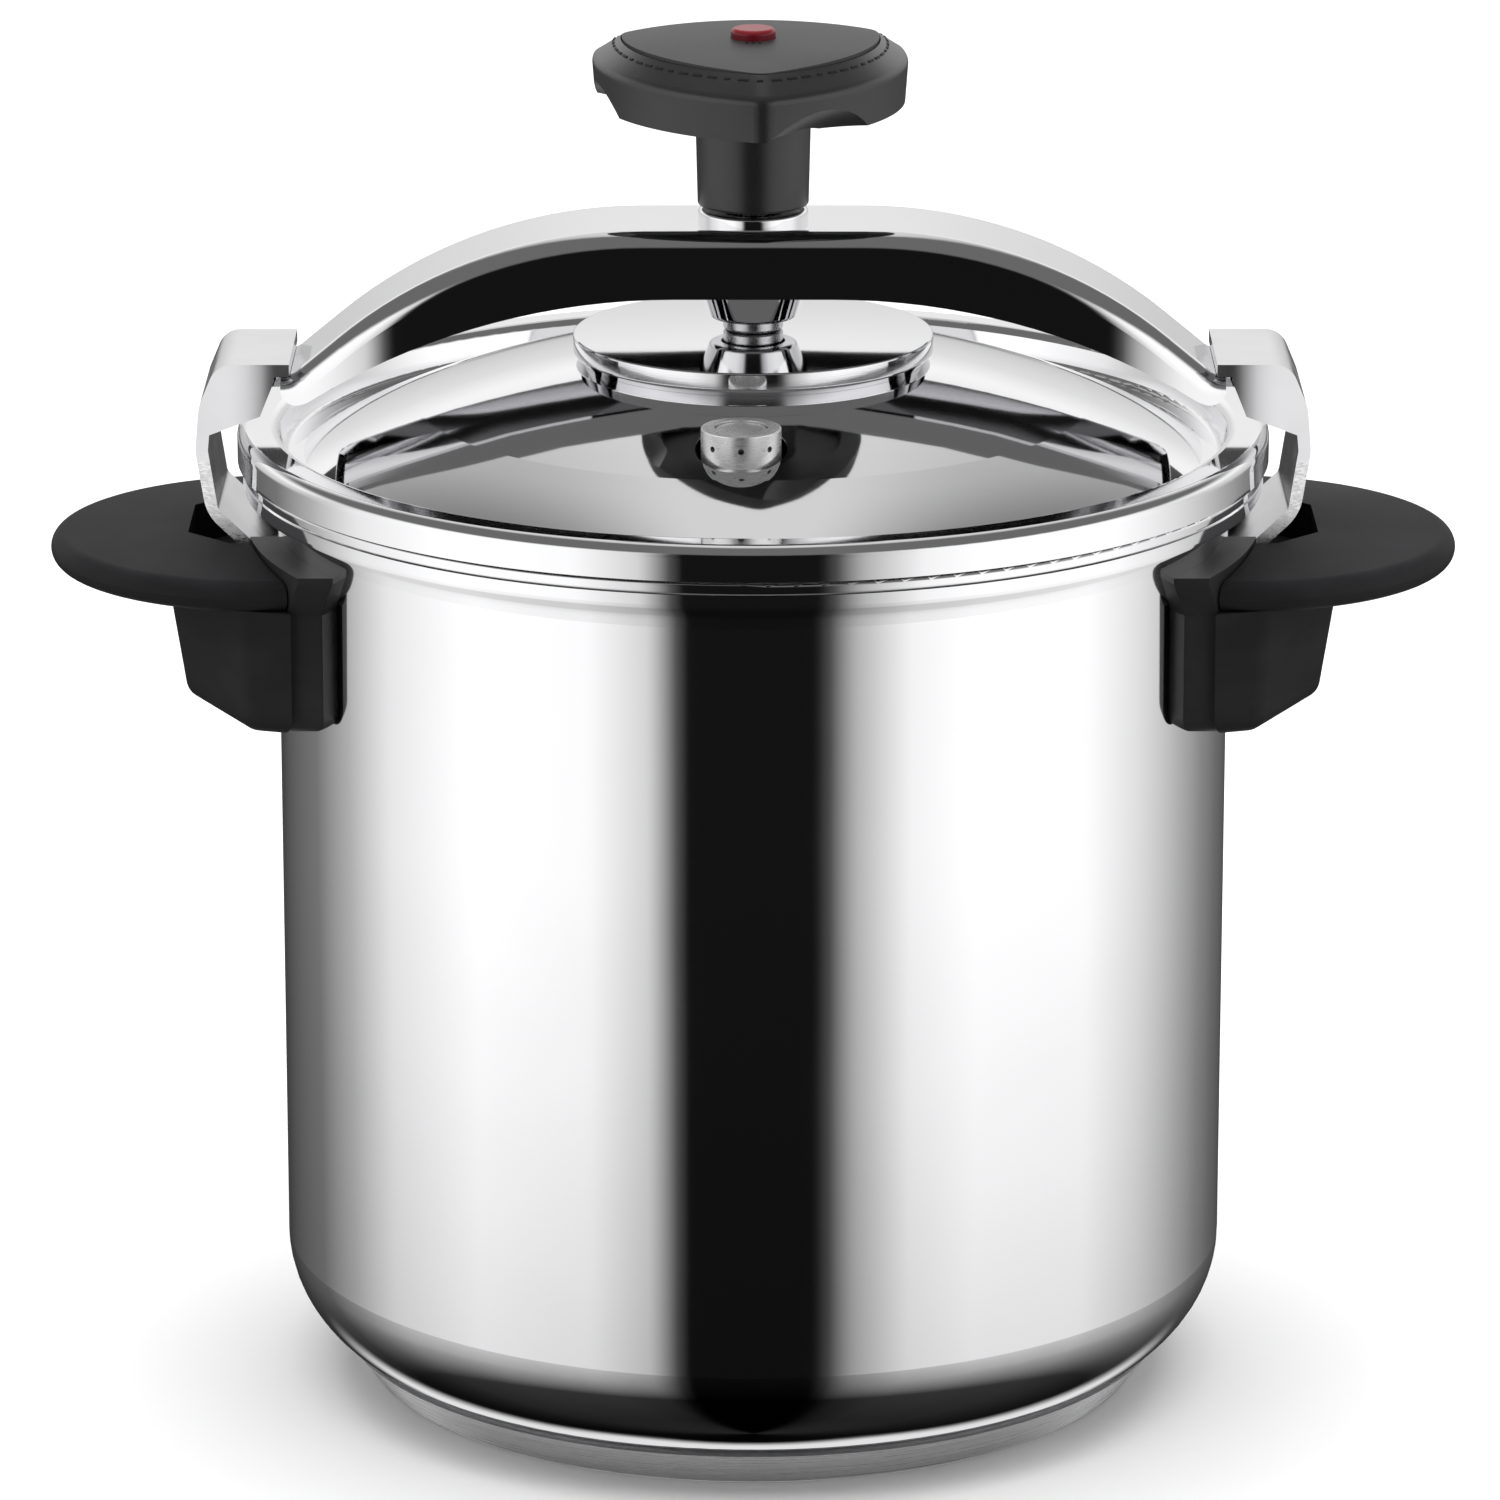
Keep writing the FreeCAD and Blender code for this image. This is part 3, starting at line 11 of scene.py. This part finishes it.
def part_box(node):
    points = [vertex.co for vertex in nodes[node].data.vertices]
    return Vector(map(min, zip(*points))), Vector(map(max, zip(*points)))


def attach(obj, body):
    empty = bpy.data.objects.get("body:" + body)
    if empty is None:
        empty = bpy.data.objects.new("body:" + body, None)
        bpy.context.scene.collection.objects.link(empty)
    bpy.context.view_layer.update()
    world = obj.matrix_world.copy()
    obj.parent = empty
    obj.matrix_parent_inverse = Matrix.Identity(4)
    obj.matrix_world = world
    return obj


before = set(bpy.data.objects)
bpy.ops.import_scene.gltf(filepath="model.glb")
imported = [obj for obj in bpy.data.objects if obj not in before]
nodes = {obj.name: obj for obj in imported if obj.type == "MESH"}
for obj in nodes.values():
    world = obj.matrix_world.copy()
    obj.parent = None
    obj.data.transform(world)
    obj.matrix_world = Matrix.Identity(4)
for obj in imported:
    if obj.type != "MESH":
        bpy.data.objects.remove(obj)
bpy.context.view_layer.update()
scene = bpy.context.scene

# metres, except LEAST_UP
FLANGE_DEPTH = 0.0245   # from a hook's top to the lower edge of its front flange
FLANGE_SHIFT = 0.007    # from a hook's middle in to its flange's middle
STEP_DEPTH = 0.030      # from the pot's rim down past the step in its wall
LEAST_UP = -0.03        # the lowest Z of the wall's normal over that depth
ON_SKIRT = 0.00001      # points this near the lid's outer radius are on its skirt
ON_RIM = 0.004          # and these are on its rim
NOSE_DROP = 0.0068      # from a handle's top to the widest line of its edge
DASH_SPACING = 0.0041
DASH_OUT = 0.0022       # from the edge of the knob's cover to the dashes
DASH_WIDTH = 0.0007
DASH_PROUD = 0.00022

# ------------------------------------------------------------------ node helpers

class Tree:
    """Short calls for building a node tree: each returns the socket that carries the result."""

    def __init__(self, tree):
        self.tree = tree

    def node(self, kind, inputs=(), **settings):
        """A new node with these settings, its inputs linked to sockets or set to values."""
        node = self.tree.nodes.new(kind)
        for name, value in settings.items():
            setattr(node, name, value)
        for name, value in dict(inputs).items():
            self.feed(node.inputs[name], value)
        return node

    def feed(self, socket, value):
        if isinstance(value, bpy.types.NodeSocket):
            self.tree.links.new(value, socket)
        else:
            socket.default_value = value

    def math(self, operation, *values):
        node = self.node("ShaderNodeMath", operation=operation)
        for socket, value in zip(node.inputs, values):
            self.feed(socket, value)
        return node.outputs[0]

    def step(self, value, low, high, start=0.0, end=1.0):
        """A smooth change from start to end while value goes from low to high."""
        node = self.node("ShaderNodeMapRange", {
            "Value": value, "From Min": low, "From Max": high, "To Min": start, "To Max": end},
            interpolation_type="SMOOTHSTEP")
        return node.outputs["Result"]

    def mix(self, share, first, second):
        """A blend of two plain values."""
        node = self.node("ShaderNodeMix", {"Factor": share}, data_type="FLOAT")
        self.feed(node.inputs[2], first)
        self.feed(node.inputs[3], second)
        return node.outputs[0]

    def tint(self, share, first, second):
        """A blend of two colours."""
        node = self.node("ShaderNodeMix", {"Factor": share}, data_type="RGBA")
        for socket, colour in ((node.inputs[6], first), (node.inputs[7], second)):
            self.feed(socket, colour if isinstance(colour, bpy.types.NodeSocket) else (*colour, 1))
        return node.outputs[2]

    def ramp(self, value, stops):
        """A grey ramp through (position, level) stops."""
        node = self.node("ShaderNodeValToRGB", {"Fac": value})
        elements = node.color_ramp.elements
        while len(elements) < len(stops):
            elements.new(0.5)
        for element, (position, level) in zip(elements, stops):
            element.position = position
            element.color = (level, level, level, 1)
        return node.outputs["Color"]

    def place(self):
        """The point's place on the object, in metres."""
        return self.node("ShaderNodeTexCoord").outputs["Object"]

    def parts(self, vector):
        return self.node("ShaderNodeSeparateXYZ", {"Vector": vector}).outputs

    def stretched(self, vector, scale):
        node = self.node("ShaderNodeMapping", {"Vector": vector, "Scale": scale})
        return node.outputs[0]

    def around(self, vector, centre=(0, 0)):
        """Radius, angle (as metres on a 0.1 m circle) and height of a place about a Z axis."""
        x, y, z = self.parts(vector)
        x = self.math("SUBTRACT", x, centre[0])
        y = self.math("SUBTRACT", y, centre[1])
        squares = self.math("ADD", self.math("MULTIPLY", x, x), self.math("MULTIPLY", y, y))
        radius = self.math("SQRT", squares)
        angle = self.math("MULTIPLY", self.math("ARCTAN2", y, x), 0.1)
        return self.vector_of(radius, angle, z)

    def noise(self, vector, scale, detail=3.0, rough=0.5):
        node = self.node("ShaderNodeTexNoise", {
            "Vector": vector, "Scale": scale, "Detail": detail, "Roughness": rough})
        return node.outputs["Fac"]

    def own_normal(self):
        """The surface's normal in the object's own frame."""
        return self.node("ShaderNodeTexCoord").outputs["Normal"]

    def facing(self):
        """How squarely the surface faces the front or the back, 0 to 1."""
        return self.math("ABSOLUTE", self.parts(self.own_normal())[1])

    def vector(self, operation, first, second=None, scale=None):
        """One step of vector arithmetic."""
        inputs = {0: first}
        if second is not None:
            inputs[1] = second
        if scale is not None:
            inputs[3] = scale
        output = "Value" if operation in ("LENGTH", "DOT_PRODUCT") else "Vector"
        return self.node("ShaderNodeVectorMath", inputs, operation=operation).outputs[output]

    def vector_of(self, x=0.0, y=0.0, z=0.0):
        return self.node("ShaderNodeCombineXYZ", {"X": x, "Y": y, "Z": z}).outputs[0]

    def from_axis(self):
        """The place's offset from the Z axis, as a level vector, and its height."""
        x, y, z = self.parts(self.place())
        return self.vector_of(x, y), z

    def tilted(self, sideways, upward=0.0):
        """The surface's normal, leaning along X and Z as a pressed face that isn't quite flat."""
        lean = self.vector_of(x=sideways, z=upward)
        return self.in_world(self.vector("ADD", self.own_normal(), lean))

    def lathed(self, least_up=-1.0, above=0.0):
        """The normal of a spun sheet, aimed straight out from the Z axis; over a height its
        downward lean is held to least_up."""
        level, z = self.from_axis()
        normal = self.own_normal()
        out = self.vector("NORMALIZE", level)
        aim = self.vector("SCALE", out, scale=self.vector("DOT_PRODUCT", normal, out))
        rise = self.parts(normal)[2]
        held = self.math("MAXIMUM", rise, least_up)
        rise = self.mix(self.math("GREATER_THAN", z, above), rise, held)
        return self.in_world(self.vector("ADD", aim, self.vector_of(z=rise)))

    def rolled(self, radius, height, under):
        """Outside a circle round the Z axis and over its height, the normal of a roll of
        section centred there; elsewhere the normal given."""
        level, z = self.from_axis()
        beyond = self.math("SUBTRACT", self.vector("LENGTH", level), radius)
        over = self.math("SUBTRACT", z, height)
        aim = self.vector("SCALE", self.vector("NORMALIZE", level), scale=beyond)
        unit = self.vector("NORMALIZE", self.vector("ADD", aim, self.vector_of(z=over)))
        on_roll = self.math("MULTIPLY", self.math("GREATER_THAN", beyond, 0.0),
                            self.math("GREATER_THAN", over, 0.0))
        choice = self.node("ShaderNodeMix", {"Factor": on_roll}, data_type="VECTOR")
        self.feed(choice.inputs[4], under)
        self.feed(choice.inputs[5], self.in_world(unit))
        return choice.outputs[1]

    def in_world(self, vector):
        turned = self.node("ShaderNodeVectorTransform", {"Vector": vector},
                           vector_type="NORMAL", convert_from="OBJECT", convert_to="WORLD")
        return turned.outputs[0]

    def bump(self, height, strength, distance=0.0002, under=None):
        node = self.node("ShaderNodeBump", {
            "Height": height, "Strength": strength, "Distance": distance})
        if under is not None:
            self.feed(node.inputs["Normal"], under)
        return node.outputs["Normal"]


def new_material(name):
    """A fresh material, its tree and its Principled shader's inputs."""
    material = bpy.data.materials.new(name)
    material.use_nodes = True
    tree = Tree(material.node_tree)
    return material, tree, material.node_tree.nodes["Principled BSDF"].inputs


def dress(material, *names):
    """Give CAD nodes this material in every slot."""
    for name in names:
        slots = nodes[name].material_slots
        for slot in slots:
            slot.material = material
        if not slots:
            nodes[name].data.materials.append(material)


# ------------------------------------------------------------------ camera, floor and light

def make_camera():
    """A long lens about two metres off, looking down by 16 degrees."""
    data = bpy.data.cameras.new("camera")
    data.sensor_width = 36.0
    data.lens = 194.5
    camera = bpy.data.objects.new("camera", data)
    camera.location = (-0.0008, -2.0, 0.739)
    camera.rotation_euler = (math.radians(90 - 16.09), 0, 0)
    scene.collection.objects.link(camera)
    scene.camera = camera


def make_floor():
    bpy.ops.mesh.primitive_plane_add(size=12)
    floor = bpy.context.object
    floor.name = "floor"
    floor.visible_glossy = False
    material, _, shader = new_material("floor_paper")
    shader["Base Color"].default_value = (0.92, 0.92, 0.92, 1)
    shader["Roughness"].default_value = 0.9
    shader["Specular IOR Level"].default_value = 0.0
    floor.data.materials.append(material)


def make_world():
    """Studio of white side walls with a black strip behind the camera, a dark floor towards the
    back, a bright back wall and a soft overhead panel."""
    world = bpy.data.worlds.new("studio")
    world.use_nodes = True
    scene.world = world
    t = Tree(world.node_tree)
    x, y, z = t.parts(t.node("ShaderNodeTexCoord").outputs["Generated"])
    azimuth = t.math("DEGREES", t.math("ARCTAN2", x, t.math("MULTIPLY", y, -1.0)))
    elevation = t.math("DEGREES", t.math("ARCSINE", z))
    turn = t.math("ADD", t.math("DIVIDE", azimuth, 360.0), 0.5)

    def at(degrees):
        return degrees / 360 + 0.5
    walls = t.ramp(turn, [
        (at(-165), 0.05), (at(-132), 0.16), (at(-115), 0.40), (at(-98), 0.76), (at(-70), 1.0),
        (at(-40), 0.93), (at(-25), 0.62), (at(-18.5), 0.08), (at(-15.5), 0.006),
        (at(15), 0.006), (at(18.5), 0.07), (at(24.5), 0.42), (at(38), 0.86), (at(55), 1.0),
        (at(88), 0.95), (at(108), 0.68), (at(127), 0.38), (at(140), 0.22), (at(153), 0.13),
        (at(172), 0.06)])

    def height(degrees):
        return degrees / 180 + 0.5
    rise = t.math("ADD", t.math("DIVIDE", elevation, 180.0), 0.5)
    down = t.ramp(rise, [
        (height(-70), 0.015), (height(-46), 0.03), (height(-32), 0.30), (height(-21.5), 0.62),
        (height(-19), 0.85), (height(-17), 1.0)])
    low = t.math("MULTIPLY", walls, down)

    # towards the back: a pale wall above the table, and the pale table well below the horizon
    behind = t.math("ABSOLUTE", azimuth)
    wall = t.ramp(rise, [(height(-3), 0.50), (height(10), 0.66), (height(17), 0.84)])
    low = t.mix(t.math("MULTIPLY", t.step(behind, 95.0, 125.0), t.step(elevation, -9.0, -2.0)),
                low, wall)
    table = t.math("MULTIPLY", t.step(elevation, -74.0, -62.0), t.step(elevation, -28.0, -38.0))
    low = t.mix(t.math("MULTIPLY", t.step(behind, 142.0, 162.0), table), low, 0.7)

    panel = t.math("MULTIPLY", t.step(behind, 144.0, 172.0), t.step(elevation, 88.0, 70.0))
    high = t.mix(panel, 0.13, 0.60)
    level = t.mix(t.step(elevation, 18.0, 31.0), low, high)
    background = world.node_tree.nodes["Background"].inputs
    t.feed(background["Color"], level)
    background["Strength"].default_value = 1.25


def make_lights():
    """A broad ceiling panel that whitens the floor and softly tops the mouldings."""
    data = bpy.data.lights.new("ceiling_panel", "AREA")
    data.shape = "RECTANGLE"
    data.size = 4.0
    data.size_y = 4.0
    data.energy = 190
    lamp = bpy.data.objects.new("ceiling_panel", data)
    lamp.location = (0, 0.2, 3.2)
    lamp.visible_glossy = False
    scene.collection.objects.link(lamp)


# ------------------------------------------------------------------ metals

def polished(name, colour, rough, centre=(0, 0), lines=0.1, wave=0.12, lean=None):
    """Mirror steel, turned or buffed round a Z axis: fine lines round it, a soft waviness and
    faint smears in the polish."""
    material, t, shader = new_material(name)
    place = t.place()
    ring = t.around(place, centre)
    fine = t.noise(t.stretched(ring, (1.0, 0.02, 1.0)), 3500.0, 2.0)
    smear = t.noise(place, 30.0, 4.0)
    level = t.math("ADD", t.math("MULTIPLY", fine, rough * 0.5),
                   t.math("MULTIPLY", smear, rough))
    t.feed(shader["Roughness"], t.math("ADD", level, rough * 0.4))
    pale = tuple(min(c * 1.05, 1.0) for c in colour)
    t.feed(shader["Base Color"], t.tint(smear, colour, pale))
    shader["Metallic"].default_value = 1.0
    swell = t.bump(t.noise(place, 16.0, 1.0), wave, 0.0004, lean and lean(t, place))
    t.feed(shader["Normal"], t.bump(fine, lines, 0.000004, swell))
    return material


def spun_wall(t, place):
    """The pot's drawn wall; the step under its rim is too slight to turn the wall's shine."""
    return t.lathed(LEAST_UP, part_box("pot_body")[1][2] - STEP_DEPTH)


def spun_lid(t, place):
    """The lid's spun skirt, and the roll between it and the flat of its rim."""
    section = [(v.co.to_2d().length, v.co.z) for v in nodes["lid_shell"].data.vertices]
    radius = max(r for r, _ in section)
    skirt_top = max(z for r, z in section if r > radius - ON_SKIRT)
    flat = max(z for r, z in section if r > radius - ON_RIM)
    return t.rolled(radius - (flat - skirt_top), skirt_top, t.lathed())


def flange_lean(t, place):
    """The bridge's front and back flanges turn outward towards their ends."""
    x, _, _ = t.parts(place)
    reach = t.step(t.math("ABSOLUTE", x), 0.074, 0.118)
    lean = t.math("MULTIPLY", t.math("MULTIPLY", t.math("SIGN", x), reach),
                  t.step(t.facing(), 0.6, 0.95, 0.0, 0.36))
    return t.tilted(lean)


def satin(name, colour, rough, centre=(0, 0), metallic=1.0):
    """Turned steel with clear circular tool lines."""
    material, t, shader = new_material(name)
    ring = t.around(t.place(), centre)
    lines = t.noise(t.stretched(ring, (1.0, 0.01, 1.0)), 2600.0, 4.0)
    t.feed(shader["Roughness"], t.step(lines, 0.2, 0.8, rough * 0.75, rough * 1.25))
    dark = tuple(c * 0.86 for c in colour)
    t.feed(shader["Base Color"], t.tint(lines, dark, colour))
    shader["Metallic"].default_value = metallic
    shader["Anisotropic"].default_value = 0.4
    t.feed(shader["Normal"], t.bump(lines, 0.25, 0.00002))
    return material


def hook_steel():
    """Polished strap with a dished front flange and a painted dark reflection on it, frosted on
    the sheared edges below it.
    """
    material, t, shader = new_material("hook_steel")
    place = t.place()
    low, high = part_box("bracket_right")
    x, _, z = t.parts(place)
    facing = t.facing()
    flange_low = high[2] - FLANGE_DEPTH
    below = t.step(z, flange_low, flange_low - 0.001)
    sheared = t.math("MULTIPLY", t.step(facing, 0.75, 0.95), below)
    drag = t.noise(t.stretched(place, (300.0, 40.0, 900.0)), 3.0, 3.0)
    smear = t.noise(place, 60.0, 4.0)
    t.feed(shader["Roughness"], t.mix(sheared, t.step(smear, 0.3, 0.8, 0.16, 0.27),
                                      t.step(drag, 0.3, 0.7, 0.25, 0.5)))
    shader["Metallic"].default_value = 1.0
    middle = (low[0] + high[0]) / 2 - FLANGE_SHIFT
    outward = t.math("SUBTRACT", t.math("ABSOLUTE", x), middle)
    # painted dark reflection: the front flange's metal colour darkens on its side nearer the pot's
    # middle, standing in for the dark oval it mirrors
    painted_dark_reflection = t.tint(t.step(outward, -0.004, 0.012), (0.42, 0.42, 0.43), (0.66, 0.66, 0.67))
    flange = t.tint(t.step(facing, 0.75, 0.95), (0.76, 0.76, 0.77), painted_dark_reflection)
    t.feed(shader["Base Color"], t.tint(sheared, flange, (0.84, 0.84, 0.85)))
    dish = t.math("MULTIPLY", t.math("SIGN", x), t.step(outward, -0.002, 0.010, 0.12, 0.42))
    dish = t.math("MULTIPLY", dish, t.step(facing, 0.6, 0.95))
    tilt = t.math("MULTIPLY", t.step(z, flange_low, high[2], 0.0, 0.12), facing)
    swell = t.bump(t.noise(place, 45.0, 2.0), 0.3, 0.0005, t.tilted(dish, tilt))
    t.feed(shader["Normal"], t.bump(t.math("MULTIPLY", drag, sheared), 0.3, 0.00005, swell))
    return material


def cast_metal(name, colour, rough, grain=900.0):
    """Plain metal with a fine grain, for the core, the wire and the screws."""
    material, t, shader = new_material(name)
    place = t.place()
    speck = t.noise(place, grain, 4.0)
    t.feed(shader["Roughness"], t.step(speck, 0.25, 0.75, rough * 0.8, rough * 1.2))
    t.feed(shader["Base Color"], t.tint(speck, tuple(c * 0.88 for c in colour), colour))
    shader["Metallic"].default_value = 1.0
    t.feed(shader["Normal"], t.bump(speck, 0.15, 0.00002))
    return material


# ------------------------------------------------------------------ mouldings and rubber

def moulded(name, colour, rough, grain=1.0, gloss=0.5, parting=None):
    """Hard moulding: spark-eroded grain, slight flow marks, rubbed patches, and a fine parting
    line at a height where the mould's halves met."""
    material, t, shader = new_material(name)
    place = t.place()
    pits = t.noise(place, 2600.0, 3.0, 0.6)
    flow = t.noise(t.stretched(place, (1.0, 1.0, 2.5)), 28.0, 5.0)
    patch = t.noise(place, 9.0, 2.0)
    pale = tuple(c * 1.35 + 0.002 for c in colour)
    t.feed(shader["Base Color"], t.tint(t.step(flow, 0.35, 0.75), colour, pale))
    wear = t.math("MULTIPLY_ADD", patch, 0.12, rough - 0.06)
    t.feed(shader["Roughness"], t.math("MULTIPLY_ADD", pits, 0.1, t.math("SUBTRACT", wear, 0.05)))
    shader["Specular IOR Level"].default_value = gloss
    normal = t.bump(flow, 0.08, 0.0004)
    if parting is not None:
        off = t.math("ABSOLUTE", t.math("SUBTRACT", t.parts(place)[2], parting))
        normal = t.bump(t.step(off, 0.00025, 0.00005), 0.6, 0.00015, normal)
    t.feed(shader["Normal"], t.bump(pits, 0.22 * grain, 0.00005, normal))
    return material


def rubber(name, colour):
    """Dull moulded rubber with a little dust."""
    material, t, shader = new_material(name)
    place = t.place()
    dust = t.noise(place, 220.0, 5.0)
    t.feed(shader["Base Color"], t.tint(dust, tuple(c * 0.8 for c in colour), colour))
    t.feed(shader["Roughness"], t.step(dust, 0.3, 0.7, 0.5, 0.68))
    t.feed(shader["Normal"], t.bump(dust, 0.2, 0.00005))
    return material


def centre_of(name):
    """The middle of a node's box, from above."""
    low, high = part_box(name)
    return ((low[0] + high[0]) / 2, (low[1] + high[1]) / 2)


def dress_nodes():
    valve = centre_of("valve_guard")
    dress(polished("pot_steel", (0.82, 0.82, 0.83), 0.05, lean=spun_wall), "pot_body")
    dress(polished("lid_steel", (0.82, 0.82, 0.83), 0.04, lean=spun_lid), "lid_shell")
    dress(polished("bridge_steel", (0.80, 0.80, 0.81), 0.06, lines=0.04, wave=0.2,
                   lean=flange_lean), "bridge_arch")
    dress(polished("plate_steel", (0.78, 0.78, 0.79), 0.05, lines=0.3), "pressure_plate")
    dress(polished("nut_chrome", (0.82, 0.82, 0.83), 0.03), "bridge_nut", "bridge_nut_ring")
    dress(satin("base_steel", (0.80, 0.80, 0.81), 0.30, metallic=0.5), "base_cap")
    dress(hook_steel(), "bracket_left", "bracket_right")
    dress(satin("valve_steel", (0.84, 0.84, 0.84), 0.30, valve, metallic=0.85),
          "valve_body", "valve_nut", "valve_guard", "valve_plunger")
    dress(cast_metal("aluminium_core", (0.78, 0.78, 0.79), 0.4), "base_core")
    dress(cast_metal("spring_steel", (0.6, 0.6, 0.62), 0.3), "valve_spring")
    dress(cast_metal("screw_steel", (0.66, 0.66, 0.67), 0.28), "spindle", "thrust_foot",
          "knob_screw", "grip_studs", "grip_screws", "knob_insert")
    wing_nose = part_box("grip_right")[1][2] - NOSE_DROP
    dress(moulded("grip_moulding", (0.012, 0.012, 0.013), 0.58, gloss=0.09, parting=wing_nose),
          "grip_left", "grip_right")
    dress(moulded("knob_moulding", (0.014, 0.014, 0.015), 0.30, gloss=0.6), "knob")
    make_knob_marks(moulded("mark_moulding", (0.006, 0.006, 0.006), 0.5, gloss=0.3))
    dress(moulded("spacer_moulding", (0.018, 0.018, 0.019), 0.42, gloss=0.35),
          "spacer_left", "spacer_right")
    dress(moulded("cover_moulding", (0.020, 0.020, 0.021), 0.45, grain=0.6, gloss=0.35),
          "knob_cover")
    dress(moulded("red_moulding", (0.15, 0.008, 0.014), 0.28, grain=0.3, gloss=0.3), "knob_cap")
    dress(rubber("rubber_seal", (0.30, 0.30, 0.29)), "gasket", "valve_seal", "valve_seat_ring")


# ------------------------------------------------------------------ moulded and pressed details

def outline_of(name):
    """The node's outline from above, as a ring of (x, y) corners."""
    points = [v.co.to_2d() for v in nodes[name].data.vertices]
    return [points[i] for i in geometry.convex_hull_2d(points)]


def walk(outline, spacing):
    """Places spaced evenly along a closed outline, each with the way along it."""
    total = sum((outline[i - 1] - p).length for i, p in enumerate(outline))
    gap = total / round(total / spacing)
    places, left = [], 0.0
    for i, end in enumerate(outline):
        start = outline[i - 1]
        run = (end - start).length
        while left < run:
            places.append((start.lerp(end, left / run), (end - start).normalized()))
            left += gap
        left -= run
    return places


def add_tick(bm, tree, centre, along, length, width, proud):
    """A raised bar with bevelled top edges, laid on the surface found straight below it."""
    hit, up, _, _ = tree.ray_cast(Vector((*centre, 1.0)), Vector((0, 0, -1)))
    forward = (Vector((*along, 0)) - up * up.dot(Vector((*along, 0)))).normalized()
    side = up.cross(forward)
    rings = []
    for lift, scale in ((-proud, 1.0), (proud * 0.5, 1.0), (proud, 0.6)):
        ring = []
        for a, b in ((1, 1), (-1, 1), (-1, -1), (1, -1)):
            reach = length / 2 - (1 - scale) * width / 2
            spot = hit + forward * a * reach + side * b * width / 2 * scale + up * lift
            ring.append(bm.verts.new(spot))
        rings.append(ring)
    for low, high in zip(rings, rings[1:]):
        for i in range(4):
            bm.faces.new((low[i], low[(i + 1) % 4], high[(i + 1) % 4], high[i]))
    bm.faces.new(rings[-1])
    bm.faces.new(reversed(rings[0]))


def finish_piece(bm, name, body, material):
    """Turn a bmesh into a piece that rides a body."""
    bmesh.ops.recalc_face_normals(bm, faces=bm.faces)
    mesh = bpy.data.meshes.new(name)
    bm.to_mesh(mesh)
    bm.free()
    mesh.materials.append(material)
    piece = bpy.data.objects.new(name, mesh)
    scene.collection.objects.link(piece)
    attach(piece, body)


def surface_tree(*names):
    """One search tree over the meshes of several nodes."""
    corners, faces = [], []
    for name in names:
        mesh = nodes[name].data
        first = len(corners)
        corners += [v.co.copy() for v in mesh.vertices]
        faces += [[first + i for i in f.vertices] for f in mesh.polygons]
    return BVHTree.FromPolygons(corners, faces)


def make_knob_marks(material):
    """A ring of short moulded dashes round the knob, just outside its cover, and three short
    bars in front of the red cap."""
    tree = surface_tree("knob", "knob_cover")
    centre = Vector(centre_of("knob_cap"))
    bm = bmesh.new()
    for number, (spot, along) in enumerate(walk(outline_of("knob_cover"), DASH_SPACING)):
        out = spot + (spot - centre).normalized() * DASH_OUT
        length = 0.0028 if number % 4 else 0.0016
        add_tick(bm, tree, out, along, length, DASH_WIDTH, DASH_PROUD)
    low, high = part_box("knob_cap")
    front = centre - Vector((0.0, (high[1] - low[1]) / 2 + 0.0016))
    for across, length in ((-0.0016, 0.00132), (0.0, 0.0018), (0.0016, 0.00132)):
        add_tick(bm, tree, front + Vector((across, 0)), Vector((0, 1)), length, 0.0009, 0.0002)
    finish_piece(bm, "knob_marks", "screw", material)


scene.view_settings.view_transform = "Standard"
make_camera()
make_floor()
make_world()
make_lights()
dress_nodes()
